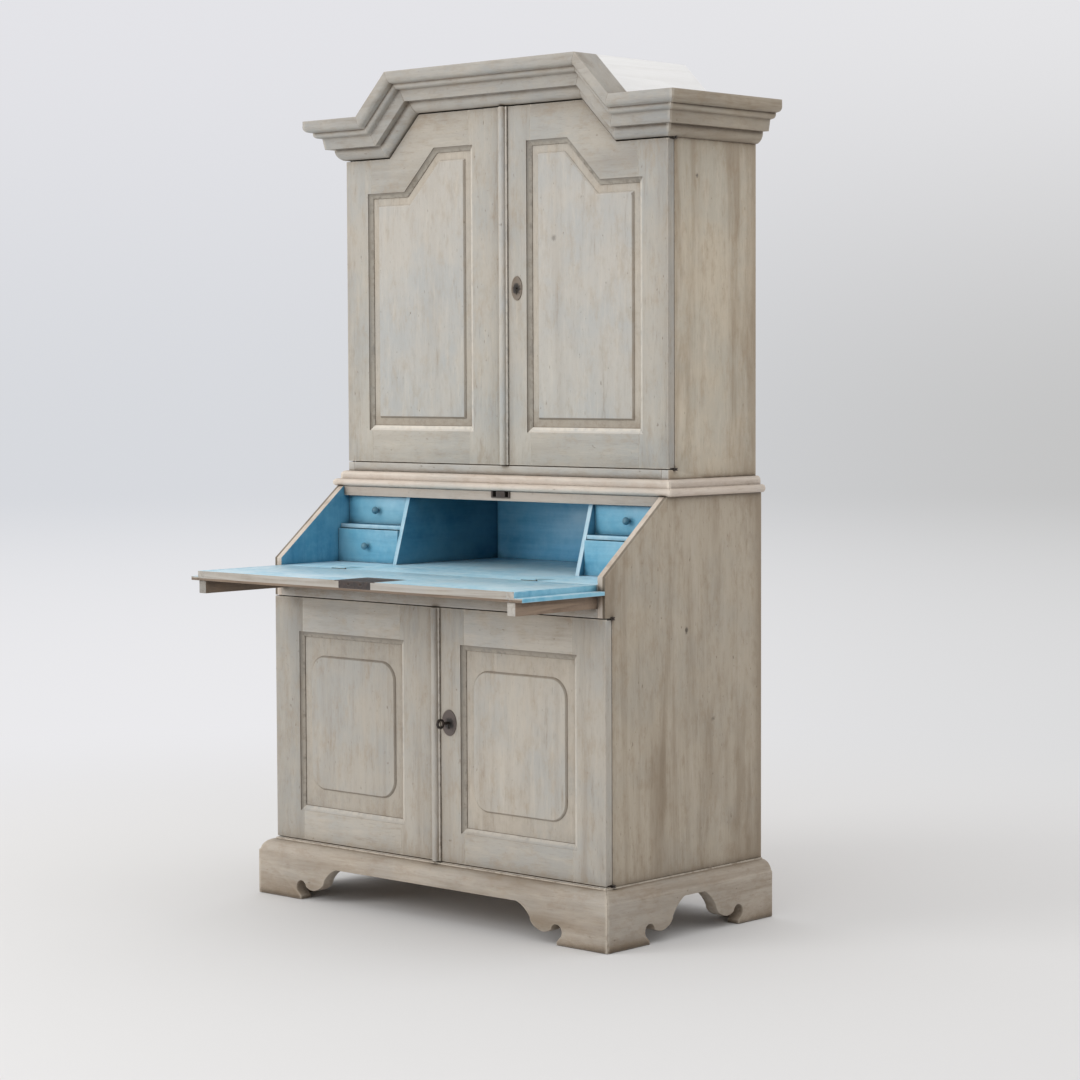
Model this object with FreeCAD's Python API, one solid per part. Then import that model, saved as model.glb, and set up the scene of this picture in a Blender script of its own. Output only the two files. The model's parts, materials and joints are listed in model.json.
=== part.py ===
import FreeCAD, Part
import math
import os

# Painted writing cabinet in two parts: a slant-front desk over a cupboard, with a bonnet-topped cupboard above.
# Millimetres. X runs across the front, Z is up, and depths are measured forward from the back of the case.

# Desk base
base_width = 1040.0
base_depth = 535.0
base_height = 962.0
base_side_thickness = 22.0
case_underside = 88.0
base_floor_height = 134.0
base_floor_thickness = 22.0
desk_height = 180.0
slope_lip_height = 17.0
slope_top_depth = 332.0
base_top_thickness = 22.0
back_board_thickness = 12.0
back_board_rebate = 10.0
back_board_count = 5
base_shelf_share = 0.5
base_shelf_setback = 60.0
shelf_thickness = 18.0
cleat_size = 18.0

# Writing level
bed_thickness = 22.0
loper_width = 23.0
loper_height = 29.0
loper_back_gap = 43.0
loper_front_setback = 4.0
loper_guide_width = 20.0
dust_board_thickness = 18.0
loper_rail_thickness = 22.0

# Fall
fall_thickness = 22.0
fall_hinge_gap = 0.8
fall_end_gap = 1.0
fall_clamp_width = 45.0
fall_tongue_length = 8.0
fall_tongue_thickness = 7.0
fall_tongue_cover = 1.0
fall_top_clearance = 1.0
fall_rail_thickness = 24.0
fall_rail_setback = 3.0

# Desk compartment
partition_share = 0.58
partition_thickness = 12.0
partition_foot_depth = 367.0
partition_top_depth = 319.0
interior_back_thickness = 6.0
interior_joint_x = 60.0
divider_thickness = 10.0
divider_depth = 340.0
lower_drawer_share = 0.51
lower_drawer_depth = 350.0
upper_drawer_depth = 313.0
drawer_front_thickness = 12.0
drawer_wall = 7.0
drawer_floor = 5.0
drawer_side_gap = 1.0
drawer_lift = 0.5
drawer_top_gap = 1.5
drawer_back_gap = 20.0
drawer_side_drop = 9.0
knob_radius = 9.0
knob_stem_radius = 4.5
knob_length = 18.0
knob_stem_length = 6.0

# Plinth
plinth_height = 132.0
plinth_thickness = 32.0
plinth_face_height = 103.0
plinth_apron_front = 82.0
plinth_apron_side = 90.0
front_foot_share = 0.133
side_foot_share = 0.245
back_foot_share = 0.215
foot_block_size = 66.0
sawing_overrun = 1.0

# Waist moulding
waist_height = 37.0
waist_lower_height = 18.0
waist_lower_projection = 28.0
waist_upper_projection = 14.0

# Upper case
upper_setback = 16.0
upper_depth = 307.0
upper_side_thickness = 20.0
upper_floor_rise = 58.0
upper_floor_thickness = 21.0
upper_shelf_shares = (0.346, 0.692)
upper_shelf_setback = 45.0
frieze_thickness = 22.0
roof_thickness = 14.0

# Cornice, whose foot line breaks upward into a bonnet
upper_rise = 781.0
cornice_height = 94.0
cornice_projection = 74.0
rake_foot_share = 0.708
rake_rise = 98.0
# Bed mould, corona, small ovolo and top ovolo, as shares of the projection and height
cornice_shares = (
    (0.0, 0.0),
    (0.06, 0.0),
    (0.20, 0.09, 0.27, 0.28),
    (0.49, 0.28),
    (0.55, 0.55),
    (0.68, 0.57),
    (0.745, 0.61, 0.76, 0.70),
    (0.90, 0.72),
    (0.975, 0.77, 1.0, 0.87),
    (1.0, 1.0),
    (0.0, 1.0),
)
rake_angle = math.radians(45.0)

# Doors
door_thickness = 20.0
door_back_gap = 2.0
door_edge_gap = 2.0
door_top_gap = 3.0
door_meeting_gap = 3.0
upper_meeting_stile = 95.0
upper_hinge_stile = 85.0
upper_bottom_rail = 87.0
upper_top_rail = 92.0
panel_rake_inset = 54.0
base_meeting_stile = 100.0
base_hinge_stile = 94.0
base_bottom_rail = 81.0
base_top_rail = 92.0
frame_chamfer = 12.0
frame_chamfer_depth = 7.0
frame_quirk = 2.0
groove_depth = 9.0
groove_width = 7.0
groove_setback = 8.0
panel_clearance = 0.5
upper_field_inset = 18.0
base_field_inset_x = 22.0
base_field_inset_z = 42.0
base_field_radius = 45.0
field_height = 5.0
field_chamfer = 4.0
astragal_width = 26.0
astragal_height = 12.0
astragal_fillet = 4.0

# Iron hinges and locks
hinge_strap_length = 60.0
hinge_leaf_width = 14.0
hinge_leaf_thickness = 2.0
hinge_eye_radius = 4.0
hinge_pin_radius = 2.0
pin_clearance = 0.05
fall_hinge_share = 0.577
fall_hinge_width = 44.0
fall_leaf_length = 62.0
fall_leaf_thickness = 1.6
fall_knuckle_radius = 3.0
fall_pin_radius = 1.4
running_gap = 0.3
lock_width = 80.0
lock_height = 60.0
lock_thickness = 14.0
lock_edge = 5.0
lock_plate_thickness = 1.5
lock_bolt_height = 14.0
lock_bolt_thickness = 6.0
lock_bolt_length = 62.0
lock_bolt_rise = 23.0
lock_key_offset = 55.0
upper_lock_share = 0.56
base_lock_share = 0.552
upper_escutcheon_radii = (27.0, 16.0)
base_escutcheon_radii = (29.0, 22.0)
keyhole_slot_width = 4.0
keyhole_slot_drop = 14.0
key_shank_radius = 3.2
key_reach = 40.0
key_bow_radius = 9.0
key_bow_width = 4.6
key_bow_thickness = 4.2
key_bit_length = 12.0
key_bit_width = 6.0
key_bit_thickness = 3.0
fall_lock_x = 22.0
fall_lock_width = 126.0
fall_lock_depth = 100.0
fall_lock_case_width = 100.0
fall_lock_case_depth = 72.0
fall_lock_case_drop = 17.0
fall_bolt_depth = 2.0
fall_bolt_spacing = 38.0
fall_bolt_width = 10.0
fall_bolt_thickness = 6.0
fall_bolt_length = 40.0
fall_bolt_bar = 9.0
fall_bolt_throw = 14.0
strike_width = 58.0
strike_height = 15.0
strike_thickness = 2.0

# Sizes that follow from the driving dimensions
writing_height = base_height - desk_height
slope_foot_height = writing_height + slope_lip_height
cornice_foot = base_height + upper_rise
base_half = base_width / 2
base_inner = base_half - base_side_thickness
upper_half = base_half - upper_setback
upper_inner = upper_half - upper_side_thickness
base_case_front = base_depth - door_thickness - door_back_gap
upper_case_front = upper_depth - door_thickness - door_back_gap
upper_floor_height = base_height + upper_floor_rise
bed_underside = writing_height - bed_thickness
loper_floor = bed_underside - loper_height - 2 * running_gap
base_door_top = loper_floor - dust_board_thickness - 2 * door_edge_gap
loper_rail_foot = base_door_top + door_edge_gap
base_top_underside = base_height - base_top_thickness
roof_rise = cornice_height - roof_thickness
rake_foot = rake_foot_share * upper_half
partition_centre = partition_share * base_inner
fall_hinge_x = fall_hinge_share * base_half
loper_length = base_depth - back_board_thickness - loper_back_gap
lower_drawer_opening = lower_drawer_share * (base_top_underside - writing_height)
plinth_span = base_width + 2 * plinth_thickness
plinth_return = base_depth + plinth_thickness
front_foot_width = front_foot_share * plinth_span
side_foot_width = side_foot_share * plinth_return
back_foot_width = back_foot_share * plinth_return
base_lock_height = base_floor_height + base_lock_share * (base_door_top - base_floor_height)
upper_lock_height = upper_floor_height + upper_lock_share * (cornice_foot - upper_floor_height)
base_shelf_height = base_floor_height + base_shelf_share * (base_door_top - base_floor_height)
keyhole_radius = key_shank_radius + pin_clearance

slope_angle = math.atan2(base_height - slope_foot_height, base_depth - slope_top_depth)
fall_axis_depth = base_depth + fall_hinge_gap / 2
slope_drop = (slope_foot_height - writing_height) * math.cos(slope_angle)
slope_drop -= (fall_axis_depth - base_depth) * math.sin(slope_angle)
fall_raise = slope_drop + running_gap
fall_closed_rise = base_height - fall_top_clearance - writing_height - fall_thickness * math.cos(slope_angle)
fall_reach = fall_closed_rise / math.sin(slope_angle)
fall_front_depth = fall_axis_depth + fall_reach
fall_back_depth = base_depth + fall_hinge_gap
fall_underside = writing_height - fall_thickness
fall_inner_half = base_inner - fall_end_gap
fall_closing_angle = math.pi - slope_angle
overall_depth = fall_front_depth
rear = overall_depth / 2

# Reach of the cutting bodies, well past every piece that they trim
cut_reach = 2 * (base_width + base_height)


def at(x, depth, z):
    return FreeCAD.Vector(x, rear - depth, z)


across = FreeCAD.Vector(1, 0, 0)
forward = FreeCAD.Vector(0, -1, 0)
upward = FreeCAD.Vector(0, 0, 1)


def box(x0, x1, depth0, depth1, z0, z1):
    return Part.makeBox(x1 - x0, depth1 - depth0, z1 - z0, at(x0, depth1, z0))


def polygon(points):
    return Part.Face(Part.makePolygon(points + points[:1]))


def side_board(outline, x0, x1):
    """A board cut to an outline of (depth, height) points, standing between two x places."""
    return polygon([at(x0, depth, z) for depth, z in outline]).extrude(across * (x1 - x0))


def front_board(outline, depth0, depth1):
    """A board cut to an outline of (x, height) points, lying between two depths."""
    return polygon([at(x, depth0, z) for x, z in outline]).extrude(forward * (depth1 - depth0))


def rod(start, axis, radius, length):
    return Part.makeCylinder(radius, length, start, axis)


def mirrored(shape):
    return shape.mirror(FreeCAD.Vector(0, 0, 0), across)


def both_sides(shape):
    return [mirrored(shape), shape]


def save(name, pieces):
    Part.makeCompound(pieces).exportStep(f"parts/{name}.step")


def curved_face(members, place):
    """A face bounded by lines (x, y) and three-point arcs (x through, y through, x, y)."""
    edges = []
    here = place(*members[0])
    for member in members[1:] + members[:1]:
        there = place(*member[-2:])
        if len(member) == 4:
            edges.append(Part.Arc(here, place(*member[:2]), there).toShape())
        else:
            edges.append(Part.LineSegment(here, there).toShape())
        here = there
    return Part.Face(Part.Wire(edges))


def mitred_runs(profile, path, outward):
    """One straight run of a moulding for each leg of the path, mitred where the legs meet."""
    legs = [(end - start).normalize() for start, end in zip(path, path[1:])]
    turns = [(before + after).normalize() for before, after in zip(legs, legs[1:])]
    cuts = legs[:1] + turns + legs[-1:]
    runs = []
    for index, leg in enumerate(legs):
        start = path[index]
        end = path[index + 1]
        out = outward[index]
        rise = out.cross(leg)
        overrun = leg * base_depth
        origin = start - overrun

        def place(across_run, up_run):
            return origin + out * across_run + rise * up_run

        run = curved_face(profile, place).extrude(end - start + overrun * 2)
        run = run.cut(rod(start, cuts[index] * -1, cut_reach, cut_reach))
        run = run.cut(rod(end, cuts[index + 1], cut_reach, cut_reach))
        runs.append(run)
    return runs


def round_three_sides(half_width, depth, z):
    """The path of a moulding from the back of the left side round the front to the back of the right side."""
    return [at(-half_width, 0, z), at(-half_width, depth, z), at(half_width, depth, z), at(half_width, 0, z)]


three_sides_out = [across * -1, forward, across]


def bonnet_corners(height):
    """The rake's foot and peak on the right, on a line at this height square above the cornice's foot."""
    shift = height * math.tan(rake_angle / 2)
    run = rake_rise / math.tan(rake_angle)
    foot = (rake_foot + shift, cornice_foot + height)
    peak = (rake_foot - run + shift, cornice_foot + rake_rise + height)
    return foot, peak


def bonnet_line(height):
    """The whole bonnet line from left to right, without its ends."""
    foot, peak = bonnet_corners(height)
    return [(-foot[0], foot[1]), (-peak[0], peak[1]), peak, foot]


os.makedirs("parts", exist_ok=True)

# Base sides: slanted in front above the writing level, set back behind the doors below it
base_side_outline = [
    (0, case_underside),
    (base_depth, case_underside),
    (base_depth, base_floor_height),
    (base_case_front, base_floor_height),
    (base_case_front, loper_rail_foot),
    (base_depth, loper_rail_foot),
    (base_depth, slope_foot_height),
    (slope_top_depth, base_height),
    (0, base_height),
]
back_rebate_half = base_inner + back_board_rebate
back_rebate = box(0, back_rebate_half, 0, back_board_thickness, case_underside, base_height)
base_side = side_board(base_side_outline, base_inner, base_half).cut(back_rebate)


# Pivot hinges: iron leaves let into the ends of a door and into the side above and below it, with eyes that stand outside
def door_hinges(half_width, side_thickness, case_front, door_ends, case_ends):
    """Case leaves, door leaves and pins of a right-hand door, and the recesses that the leaves lie in."""
    pin_x = half_width + hinge_eye_radius + running_gap
    pin_depth = case_front + door_back_gap / 2
    door_back = case_front + door_back_gap
    eye_front = pin_depth + hinge_eye_radius
    eye_back = pin_depth - hinge_eye_radius
    case_leaves = []
    door_leaves = []
    pins = []
    recesses = []
    door_lows = (door_ends[0], door_ends[1] - hinge_leaf_thickness)
    case_lows = (case_ends[0] - hinge_leaf_thickness, case_ends[1])
    for door_low, case_low in zip(door_lows, case_lows):
        door_top = door_low + hinge_leaf_thickness
        case_top = case_low + hinge_leaf_thickness
        door_strap = box(half_width - hinge_strap_length, half_width, door_back, door_back + hinge_leaf_width,
                         door_low, door_top)
        door_neck = box(half_width, pin_x, door_back, eye_front, door_low, door_top)
        door_eye = rod(at(pin_x, pin_depth, door_low), upward, hinge_eye_radius, hinge_leaf_thickness)
        case_strap = box(half_width - side_thickness, half_width, eye_front - hinge_leaf_width, eye_front,
                         case_low, case_top)
        case_neck = box(half_width, pin_x, eye_back, eye_front, case_low, case_top)
        case_eye = rod(at(pin_x, pin_depth, case_low), upward, hinge_eye_radius, hinge_leaf_thickness)
        door_leaf = door_strap.fuse([door_neck, door_eye]).removeSplitter()
        case_leaf = case_strap.fuse([case_neck, case_eye]).removeSplitter()
        pin_low = at(pin_x, pin_depth, min(door_low, case_low))
        pin_length = max(door_top, case_top) - min(door_low, case_low)
        pin = rod(pin_low, upward, hinge_pin_radius, pin_length)
        bore = rod(pin_low, upward, hinge_pin_radius + pin_clearance, pin_length)
        case_leaves.append(case_leaf.cut(pin))
        door_leaves.append(door_leaf.cut(bore))
        pins.append(pin)
        recesses += [case_leaf, door_leaf]
    return case_leaves, door_leaves, pins, recesses


base_door_low = base_floor_height + door_edge_gap
upper_door_low = upper_floor_height + door_edge_gap
upper_hinge_side_top = bonnet_corners(-door_top_gap)[0][1]
upper_centre_top = bonnet_corners(-door_top_gap)[1][1]
base_case_leaves, base_door_leaves, base_pins, base_recesses = door_hinges(
    base_half, base_side_thickness, base_case_front,
    (base_door_low, base_door_top), (base_floor_height, loper_rail_foot))
upper_case_leaves, upper_door_leaves, upper_pins, upper_recesses = door_hinges(
    upper_half, upper_side_thickness, upper_case_front,
    (upper_door_low, upper_hinge_side_top), (upper_floor_height, cornice_foot))

for recess in base_recesses:
    base_side = base_side.cut(recess)
save("base_left_side", [mirrored(base_side)])
save("base_right_side", [base_side])

# Base bottom, top, shelf and back
save("base_bottom", [box(-base_inner, base_inner, back_board_thickness, base_depth,
                         base_floor_height - base_floor_thickness, base_floor_height)])
fall_rail_front = slope_top_depth - fall_rail_setback
fall_rail_back = fall_rail_front - fall_rail_thickness
save("base_top", [box(-base_inner, base_inner, back_board_thickness, fall_rail_back,
                      base_top_underside, base_height)])
back_board_width = 2 * back_rebate_half / back_board_count
base_backs = []
for index in range(back_board_count):
    edge = index * back_board_width - back_rebate_half
    base_backs.append(box(edge, edge + back_board_width, 0, back_board_thickness, case_underside, base_height))
save("base_back_boards", base_backs)

# Plinth: a moulded board on three sides, sawn into scrolled feet below
ovolo_bend = 0.35
plinth_lip = 3.0
plinth_profile = [
    (0, 0),
    (plinth_thickness, 0),
    (plinth_thickness, plinth_face_height),
    (plinth_thickness - plinth_lip, plinth_face_height + plinth_lip),
    (plinth_thickness * ovolo_bend + plinth_lip, plinth_height - plinth_lip * 2,
     plinth_lip, plinth_height - plinth_lip),
    (plinth_lip, plinth_height),
    (0, plinth_height),
]
# Scroll of a foot: bite, lobe and ogee, as distances from the foot's inner edge and heights
bite_centre = (1.0, 29.0)
bite_radius = 16.0
bite_angles = (235.0, 135.0, 10.0)
toe_height = 8.0
lobe_low = (37.0, 24.5)
lobe_end = (59.0, 30.0)
ogee_middle = (79.0, 52.0)
ogee_end = 119.0
ogee_bulge = 3.0


def foot_scroll(foot_width, apron):
    """Members from the foot's inner edge on the floor up to the apron's edge."""
    bite = []
    for angle in bite_angles:
        turn = math.radians(angle)
        bite.append((foot_width + bite_centre[0] + bite_radius * math.cos(turn),
                     bite_centre[1] + bite_radius * math.sin(turn)))
    lobe = (foot_width + lobe_low[0], lobe_low[1])
    lobe_far = (foot_width + lobe_end[0], lobe_end[1])
    bend = (foot_width + ogee_middle[0], ogee_middle[1])
    end = (foot_width + ogee_end, apron)
    rise_through = ((lobe_far[0] + bend[0]) / 2 + ogee_bulge, (lobe_far[1] + bend[1]) / 2 - ogee_bulge)
    hollow_through = ((bend[0] + end[0]) / 2 - ogee_bulge, (bend[1] + end[1]) / 2 + ogee_bulge)
    return [
        (foot_width, 0),
        (foot_width, toe_height),
        bite[0],
        bite[1] + bite[2],
        lobe + lobe_far,
        rise_through + bend,
        hollow_through + end,
    ]


def reversed_members(members, length):
    """The same outline walked the other way from the board's far end."""
    ends = [member[-2:] for member in members]
    result = [(length - ends[-1][0], ends[-1][1])]
    for member, before in zip(members[:0:-1], ends[-2::-1]):
        through = member[:-2]
        back = (length - before[0], before[1])
        if through:
            back = (length - through[0], through[1]) + back
        result.append(back)
    return result


def apron_opening(length, near_foot, far_foot, apron, place, sweep):
    near = foot_scroll(near_foot, apron)
    far = reversed_members(foot_scroll(far_foot, apron), length)
    below = [(length - far_foot, -toe_height), (near_foot, -toe_height)]
    return curved_face(near + far + below, place).extrude(sweep)


plinth_left, plinth_front, plinth_right = mitred_runs(
    plinth_profile, round_three_sides(base_half, base_depth, 0), three_sides_out)
front_sawing = apron_opening(
    plinth_span, front_foot_width, front_foot_width, plinth_apron_front,
    lambda along, z: at(along - plinth_span / 2, base_depth, z), forward * (plinth_thickness + sawing_overrun))
side_sawing = apron_opening(
    plinth_return, back_foot_width, side_foot_width, plinth_apron_side,
    lambda along, z: at(base_half, along, z), across * (plinth_thickness + sawing_overrun))
save("plinth_front", [plinth_front.cut(front_sawing)])
save("plinth_sides", [plinth_left.cut(mirrored(side_sawing)), plinth_right.cut(side_sawing)])
blocks = []
for near in (0, base_depth - foot_block_size):
    blocks += both_sides(box(base_half - foot_block_size, base_half, near, near + foot_block_size, 0, case_underside))
save("plinth_blocks", blocks)

# Writing level: rail with notches for the lopers, dust board, guides, bed and lopers
loper_outer = base_inner - running_gap * 2
loper_inner = loper_outer - loper_width
loper_top = bed_underside - running_gap
loper_low = loper_top - loper_height
loper_rail = box(-base_inner, base_inner, base_depth - loper_rail_thickness, base_depth,
                 loper_rail_foot, bed_underside)
notch = box(loper_inner - running_gap * 2, base_inner, base_depth - loper_rail_thickness, base_depth,
            loper_floor, bed_underside)
save("loper_rail", [loper_rail.cut(notch).cut(mirrored(notch))])
save("dust_board", [box(-base_inner, base_inner, back_board_thickness, base_depth - loper_rail_thickness,
                        loper_floor - dust_board_thickness, loper_floor)])
guide_outer = loper_inner - running_gap * 2
save("loper_guides", both_sides(box(guide_outer - loper_guide_width, guide_outer, back_board_thickness,
                                    base_depth - loper_rail_thickness, loper_floor, bed_underside)))
loper_front_depth = fall_front_depth - loper_front_setback
loper = box(loper_inner, loper_outer, loper_front_depth - loper_length, loper_front_depth, loper_low, loper_top)
save("left_loper", [mirrored(loper)])
save("right_loper", [loper])


# Fall hinges: leaves flush with the writing surface, knuckles on its line
def fall_hinge(middle):
    """Bed leaf, fall leaf, pin, and the recesses that they lie in."""
    left = middle - fall_hinge_width / 2
    right = middle + fall_hinge_width / 2
    knuckle = (fall_hinge_width - 4 * running_gap) / 3
    start = at(left, fall_axis_depth, writing_height)
    centre_start = at(middle - knuckle / 2, fall_axis_depth, writing_height)
    room_start = at(middle - knuckle / 2 - running_gap, fall_axis_depth, writing_height)
    room = rod(room_start, across, fall_knuckle_radius + running_gap, knuckle + 2 * running_gap)
    barrel_start = at(left - running_gap, fall_axis_depth, writing_height)
    barrel_room = rod(barrel_start, across, fall_knuckle_radius + running_gap, fall_hinge_width + 2 * running_gap)
    leaf_low = writing_height - fall_leaf_thickness
    bed_flat = box(left, right, fall_axis_depth - fall_leaf_length, fall_axis_depth, leaf_low, writing_height)
    fall_flat = box(left, right, fall_axis_depth, fall_axis_depth + fall_leaf_length, leaf_low, writing_height)
    pin = rod(start, across, fall_pin_radius, fall_hinge_width)
    bore = rod(start, across, fall_pin_radius + pin_clearance, fall_hinge_width)
    bed_leaf = bed_flat.fuse(rod(start, across, fall_knuckle_radius, fall_hinge_width)).cut(room).cut(pin)
    fall_plate = fall_flat.cut(barrel_room.cut(room))
    fall_leaf = fall_plate.fuse(rod(centre_start, across, fall_knuckle_radius, knuckle)).cut(bore)
    return bed_leaf.removeSplitter(), fall_leaf.removeSplitter(), pin, [bed_flat, fall_flat, barrel_room]


bed = box(-base_inner, base_inner, back_board_thickness, base_depth, bed_underside, writing_height)
fall_board_half = base_half - fall_clamp_width
fall_board = box(-fall_board_half, fall_board_half, fall_back_depth, fall_front_depth, fall_underside, writing_height)
bed_leaves = []
fall_leaves = []
fall_pins = []
for middle in (-fall_hinge_x, fall_hinge_x):
    bed_leaf, fall_leaf, pin, recesses = fall_hinge(middle)
    bed_leaves.append(bed_leaf)
    fall_leaves.append(fall_leaf)
    fall_pins.append(pin)
    for recess in recesses:
        bed = bed.cut(recess)
        fall_board = fall_board.cut(recess)
save("writing_bed", [bed])
save("fall_hinge_leaves", fall_leaves)

# Fall: board with clamped ends, which lap over the slanted edges of the sides when it is shut
tongue_low = fall_underside + (fall_thickness - fall_raise - fall_tongue_thickness) / 2
tongue_low = max(tongue_low, fall_underside + fall_tongue_cover)
tongue = box(fall_board_half, fall_board_half + fall_tongue_length, fall_back_depth, fall_front_depth,
             tongue_low, tongue_low + fall_tongue_thickness)
lap_height = writing_height - fall_raise
clamp_outline = [
    (fall_board_half, fall_underside),
    (base_half, fall_underside),
    (base_half, lap_height),
    (fall_inner_half, lap_height),
    (fall_inner_half, writing_height),
    (fall_board_half, writing_height),
]
clamp = front_board(clamp_outline, fall_back_depth, fall_front_depth).cut(tongue)
save("fall_end_clamps", both_sides(clamp))
fall_board = fall_board.fuse([tongue, mirrored(tongue)]).removeSplitter()

# Fall lock: plate let in flush, case below it, twin bolts that leave through the front edge
plate_low = writing_height - lock_plate_thickness
case_low = writing_height - fall_lock_case_drop
lock_back = fall_front_depth - fall_lock_depth
lock_plate = box(fall_lock_x - fall_lock_width / 2, fall_lock_x + fall_lock_width / 2,
                 lock_back, fall_front_depth, plate_low, writing_height)
lock_case = box(fall_lock_x - fall_lock_case_width / 2, fall_lock_x + fall_lock_case_width / 2,
                fall_front_depth - fall_lock_case_depth, fall_front_depth, case_low, plate_low)
fall_lock = lock_plate.fuse(lock_case).removeSplitter()
fall_board = fall_board.cut(fall_lock)
bolt_low = plate_low - fall_bolt_depth - fall_bolt_thickness
bolt_back = fall_front_depth - fall_bolt_length
bolt_half = (fall_bolt_spacing + fall_bolt_width) / 2


def fall_bolt_shape(slack, throw):
    """The twin bolt on its bar, grown by the slack and drawn out over the throw."""
    low = bolt_low - slack
    high = bolt_low + fall_bolt_thickness + slack
    front = fall_front_depth - running_gap + throw
    shape = box(fall_lock_x - bolt_half - slack, fall_lock_x + bolt_half + slack,
                bolt_back - slack, bolt_back + fall_bolt_bar + throw + slack, low, high)
    for side in (-1, 1):
        middle = fall_lock_x + side * fall_bolt_spacing / 2
        shape = shape.fuse(box(middle - fall_bolt_width / 2 - slack, middle + fall_bolt_width / 2 + slack,
                               bolt_back, front, low, high))
    return shape.removeSplitter()


fall_lock = fall_lock.cut(fall_bolt_shape(running_gap, fall_bolt_throw))
save("fall_bolt", [fall_bolt_shape(0, 0)])


# Keyholes and escutcheons
def keyhole(x, z, depth0, depth1):
    """A keyhole cut between two depths: a round hole with a slot for the bit below it."""
    hole = rod(at(x, depth0, z), forward, keyhole_radius, depth1 - depth0)
    slot = box(x - keyhole_slot_width / 2, x + keyhole_slot_width / 2, depth0, depth1, z - keyhole_slot_drop, z)
    return hole.fuse(slot)


def escutcheon(x, z, front, radii):
    """A thin oval plate on the door's face, pierced by the keyhole."""
    tall, wide = radii
    middle = at(x, front, z)
    oval = Part.Ellipse(at(x, front, z + tall), at(x + wide, front, z), middle).toShape()
    plate = Part.Face(Part.Wire([oval])).extrude(forward * lock_plate_thickness)
    return plate.cut(keyhole(x, z, front, front + lock_plate_thickness))


fall_keyhole_depth = fall_front_depth - fall_lock_case_depth + fall_lock_case_drop
fall_keyhole = rod(at(fall_lock_x, fall_keyhole_depth, fall_underside), upward,
                   keyhole_radius, case_low - fall_underside)
fall_board = fall_board.cut(fall_keyhole)
fall_rose = rod(at(fall_lock_x, fall_keyhole_depth, fall_underside - lock_plate_thickness), upward,
                base_escutcheon_radii[1], lock_plate_thickness)
fall_rose_hole = rod(at(fall_lock_x, fall_keyhole_depth, fall_underside - lock_plate_thickness), upward,
                     keyhole_radius, lock_plate_thickness)
save("fall_board", [fall_board])
save("fall_lock", [fall_lock, fall_rose.cut(fall_rose_hole)])

# Rail that the shut fall meets, and the strike that takes its bolts
fall_rail = box(-base_inner, base_inner, fall_rail_back, fall_rail_front, base_top_underside, base_height)
strike = box(fall_lock_x - strike_width / 2, fall_lock_x + strike_width / 2, fall_rail_front,
             fall_rail_front + strike_thickness, base_height - strike_height, base_height)
for side in (-1, 1):
    middle = fall_lock_x + side * fall_bolt_spacing / 2
    half = fall_bolt_width / 2 + 2 * running_gap
    pocket = box(middle - half, middle + half, fall_rail_front - fall_bolt_throw, fall_rail_front + strike_thickness,
                 base_height - strike_height + strike_thickness, base_height)
    strike = strike.cut(pocket)
    fall_rail = fall_rail.cut(pocket)
save("fall_rail", [fall_rail])
save("fall_strike", [strike])

# Desk compartment: back, partitions with slanting front edges, dividers
interior_back_depth = back_board_thickness + interior_back_thickness
save("interior_back", [
    box(-base_inner, interior_joint_x, back_board_thickness, interior_back_depth, writing_height, base_top_underside),
    box(interior_joint_x, base_inner, back_board_thickness, interior_back_depth, writing_height, base_top_underside),
])
partition_outline = [
    (interior_back_depth, writing_height),
    (partition_foot_depth, writing_height),
    (partition_top_depth, base_top_underside),
    (interior_back_depth, base_top_underside),
]
partition_inner = partition_centre - partition_thickness / 2
partition_outer = partition_centre + partition_thickness / 2
save("partitions", both_sides(side_board(partition_outline, partition_inner, partition_outer)))
divider_low = writing_height + lower_drawer_opening
divider_top = divider_low + divider_thickness
save("drawer_dividers", both_sides(box(partition_outer, base_inner, interior_back_depth, divider_depth,
                                       divider_low, divider_top)))


# Small drawers with turned knobs
def turned_knob(x, front, z):
    def place(radius, length):
        return at(x + radius, front + length, z)

    head = knob_length - knob_stem_length
    outline = [
        (0, 0),
        (knob_stem_radius, 0),
        (knob_stem_radius * 0.8, knob_stem_length / 2),
        (knob_stem_radius, knob_stem_length),
        (knob_radius * 0.9, knob_stem_length + head * 0.2),
        (knob_radius, knob_stem_length + head * 0.45),
        (knob_radius * 0.85, knob_stem_length + head * 0.75),
        (knob_radius * 0.5, knob_length),
        (0, knob_length),
    ]
    return curved_face(outline, place).revolve(at(x, front, z), forward, 360)


def small_drawer(low, opening_top, front):
    """A right-hand drawer: front, two sides, back, bottom and knob."""
    left = partition_outer + drawer_side_gap
    right = base_inner - drawer_side_gap
    foot = low + drawer_lift
    head = opening_top - drawer_top_gap
    back = interior_back_depth + drawer_back_gap
    front_back = front - drawer_front_thickness
    wall_head = head - drawer_side_drop
    floor_head = foot + drawer_floor
    pieces = [
        box(left, right, front_back, front, foot, head),
        box(left, left + drawer_wall, back, front_back, foot, wall_head),
        box(right - drawer_wall, right, back, front_back, foot, wall_head),
        box(left + drawer_wall, right - drawer_wall, back, back + drawer_wall, foot, wall_head),
        box(left + drawer_wall, right - drawer_wall, back + drawer_wall, front_back, foot, floor_head),
        turned_knob((left + right) / 2, front, (foot + head) / 2),
    ]
    return pieces


lower_drawer = small_drawer(writing_height, divider_low, lower_drawer_depth)
upper_drawer = small_drawer(divider_top, base_top_underside, upper_drawer_depth)
save("lower_right_drawer", lower_drawer)
save("upper_right_drawer", upper_drawer)
save("lower_left_drawer", [mirrored(piece) for piece in lower_drawer])
save("upper_left_drawer", [mirrored(piece) for piece in upper_drawer])

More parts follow.
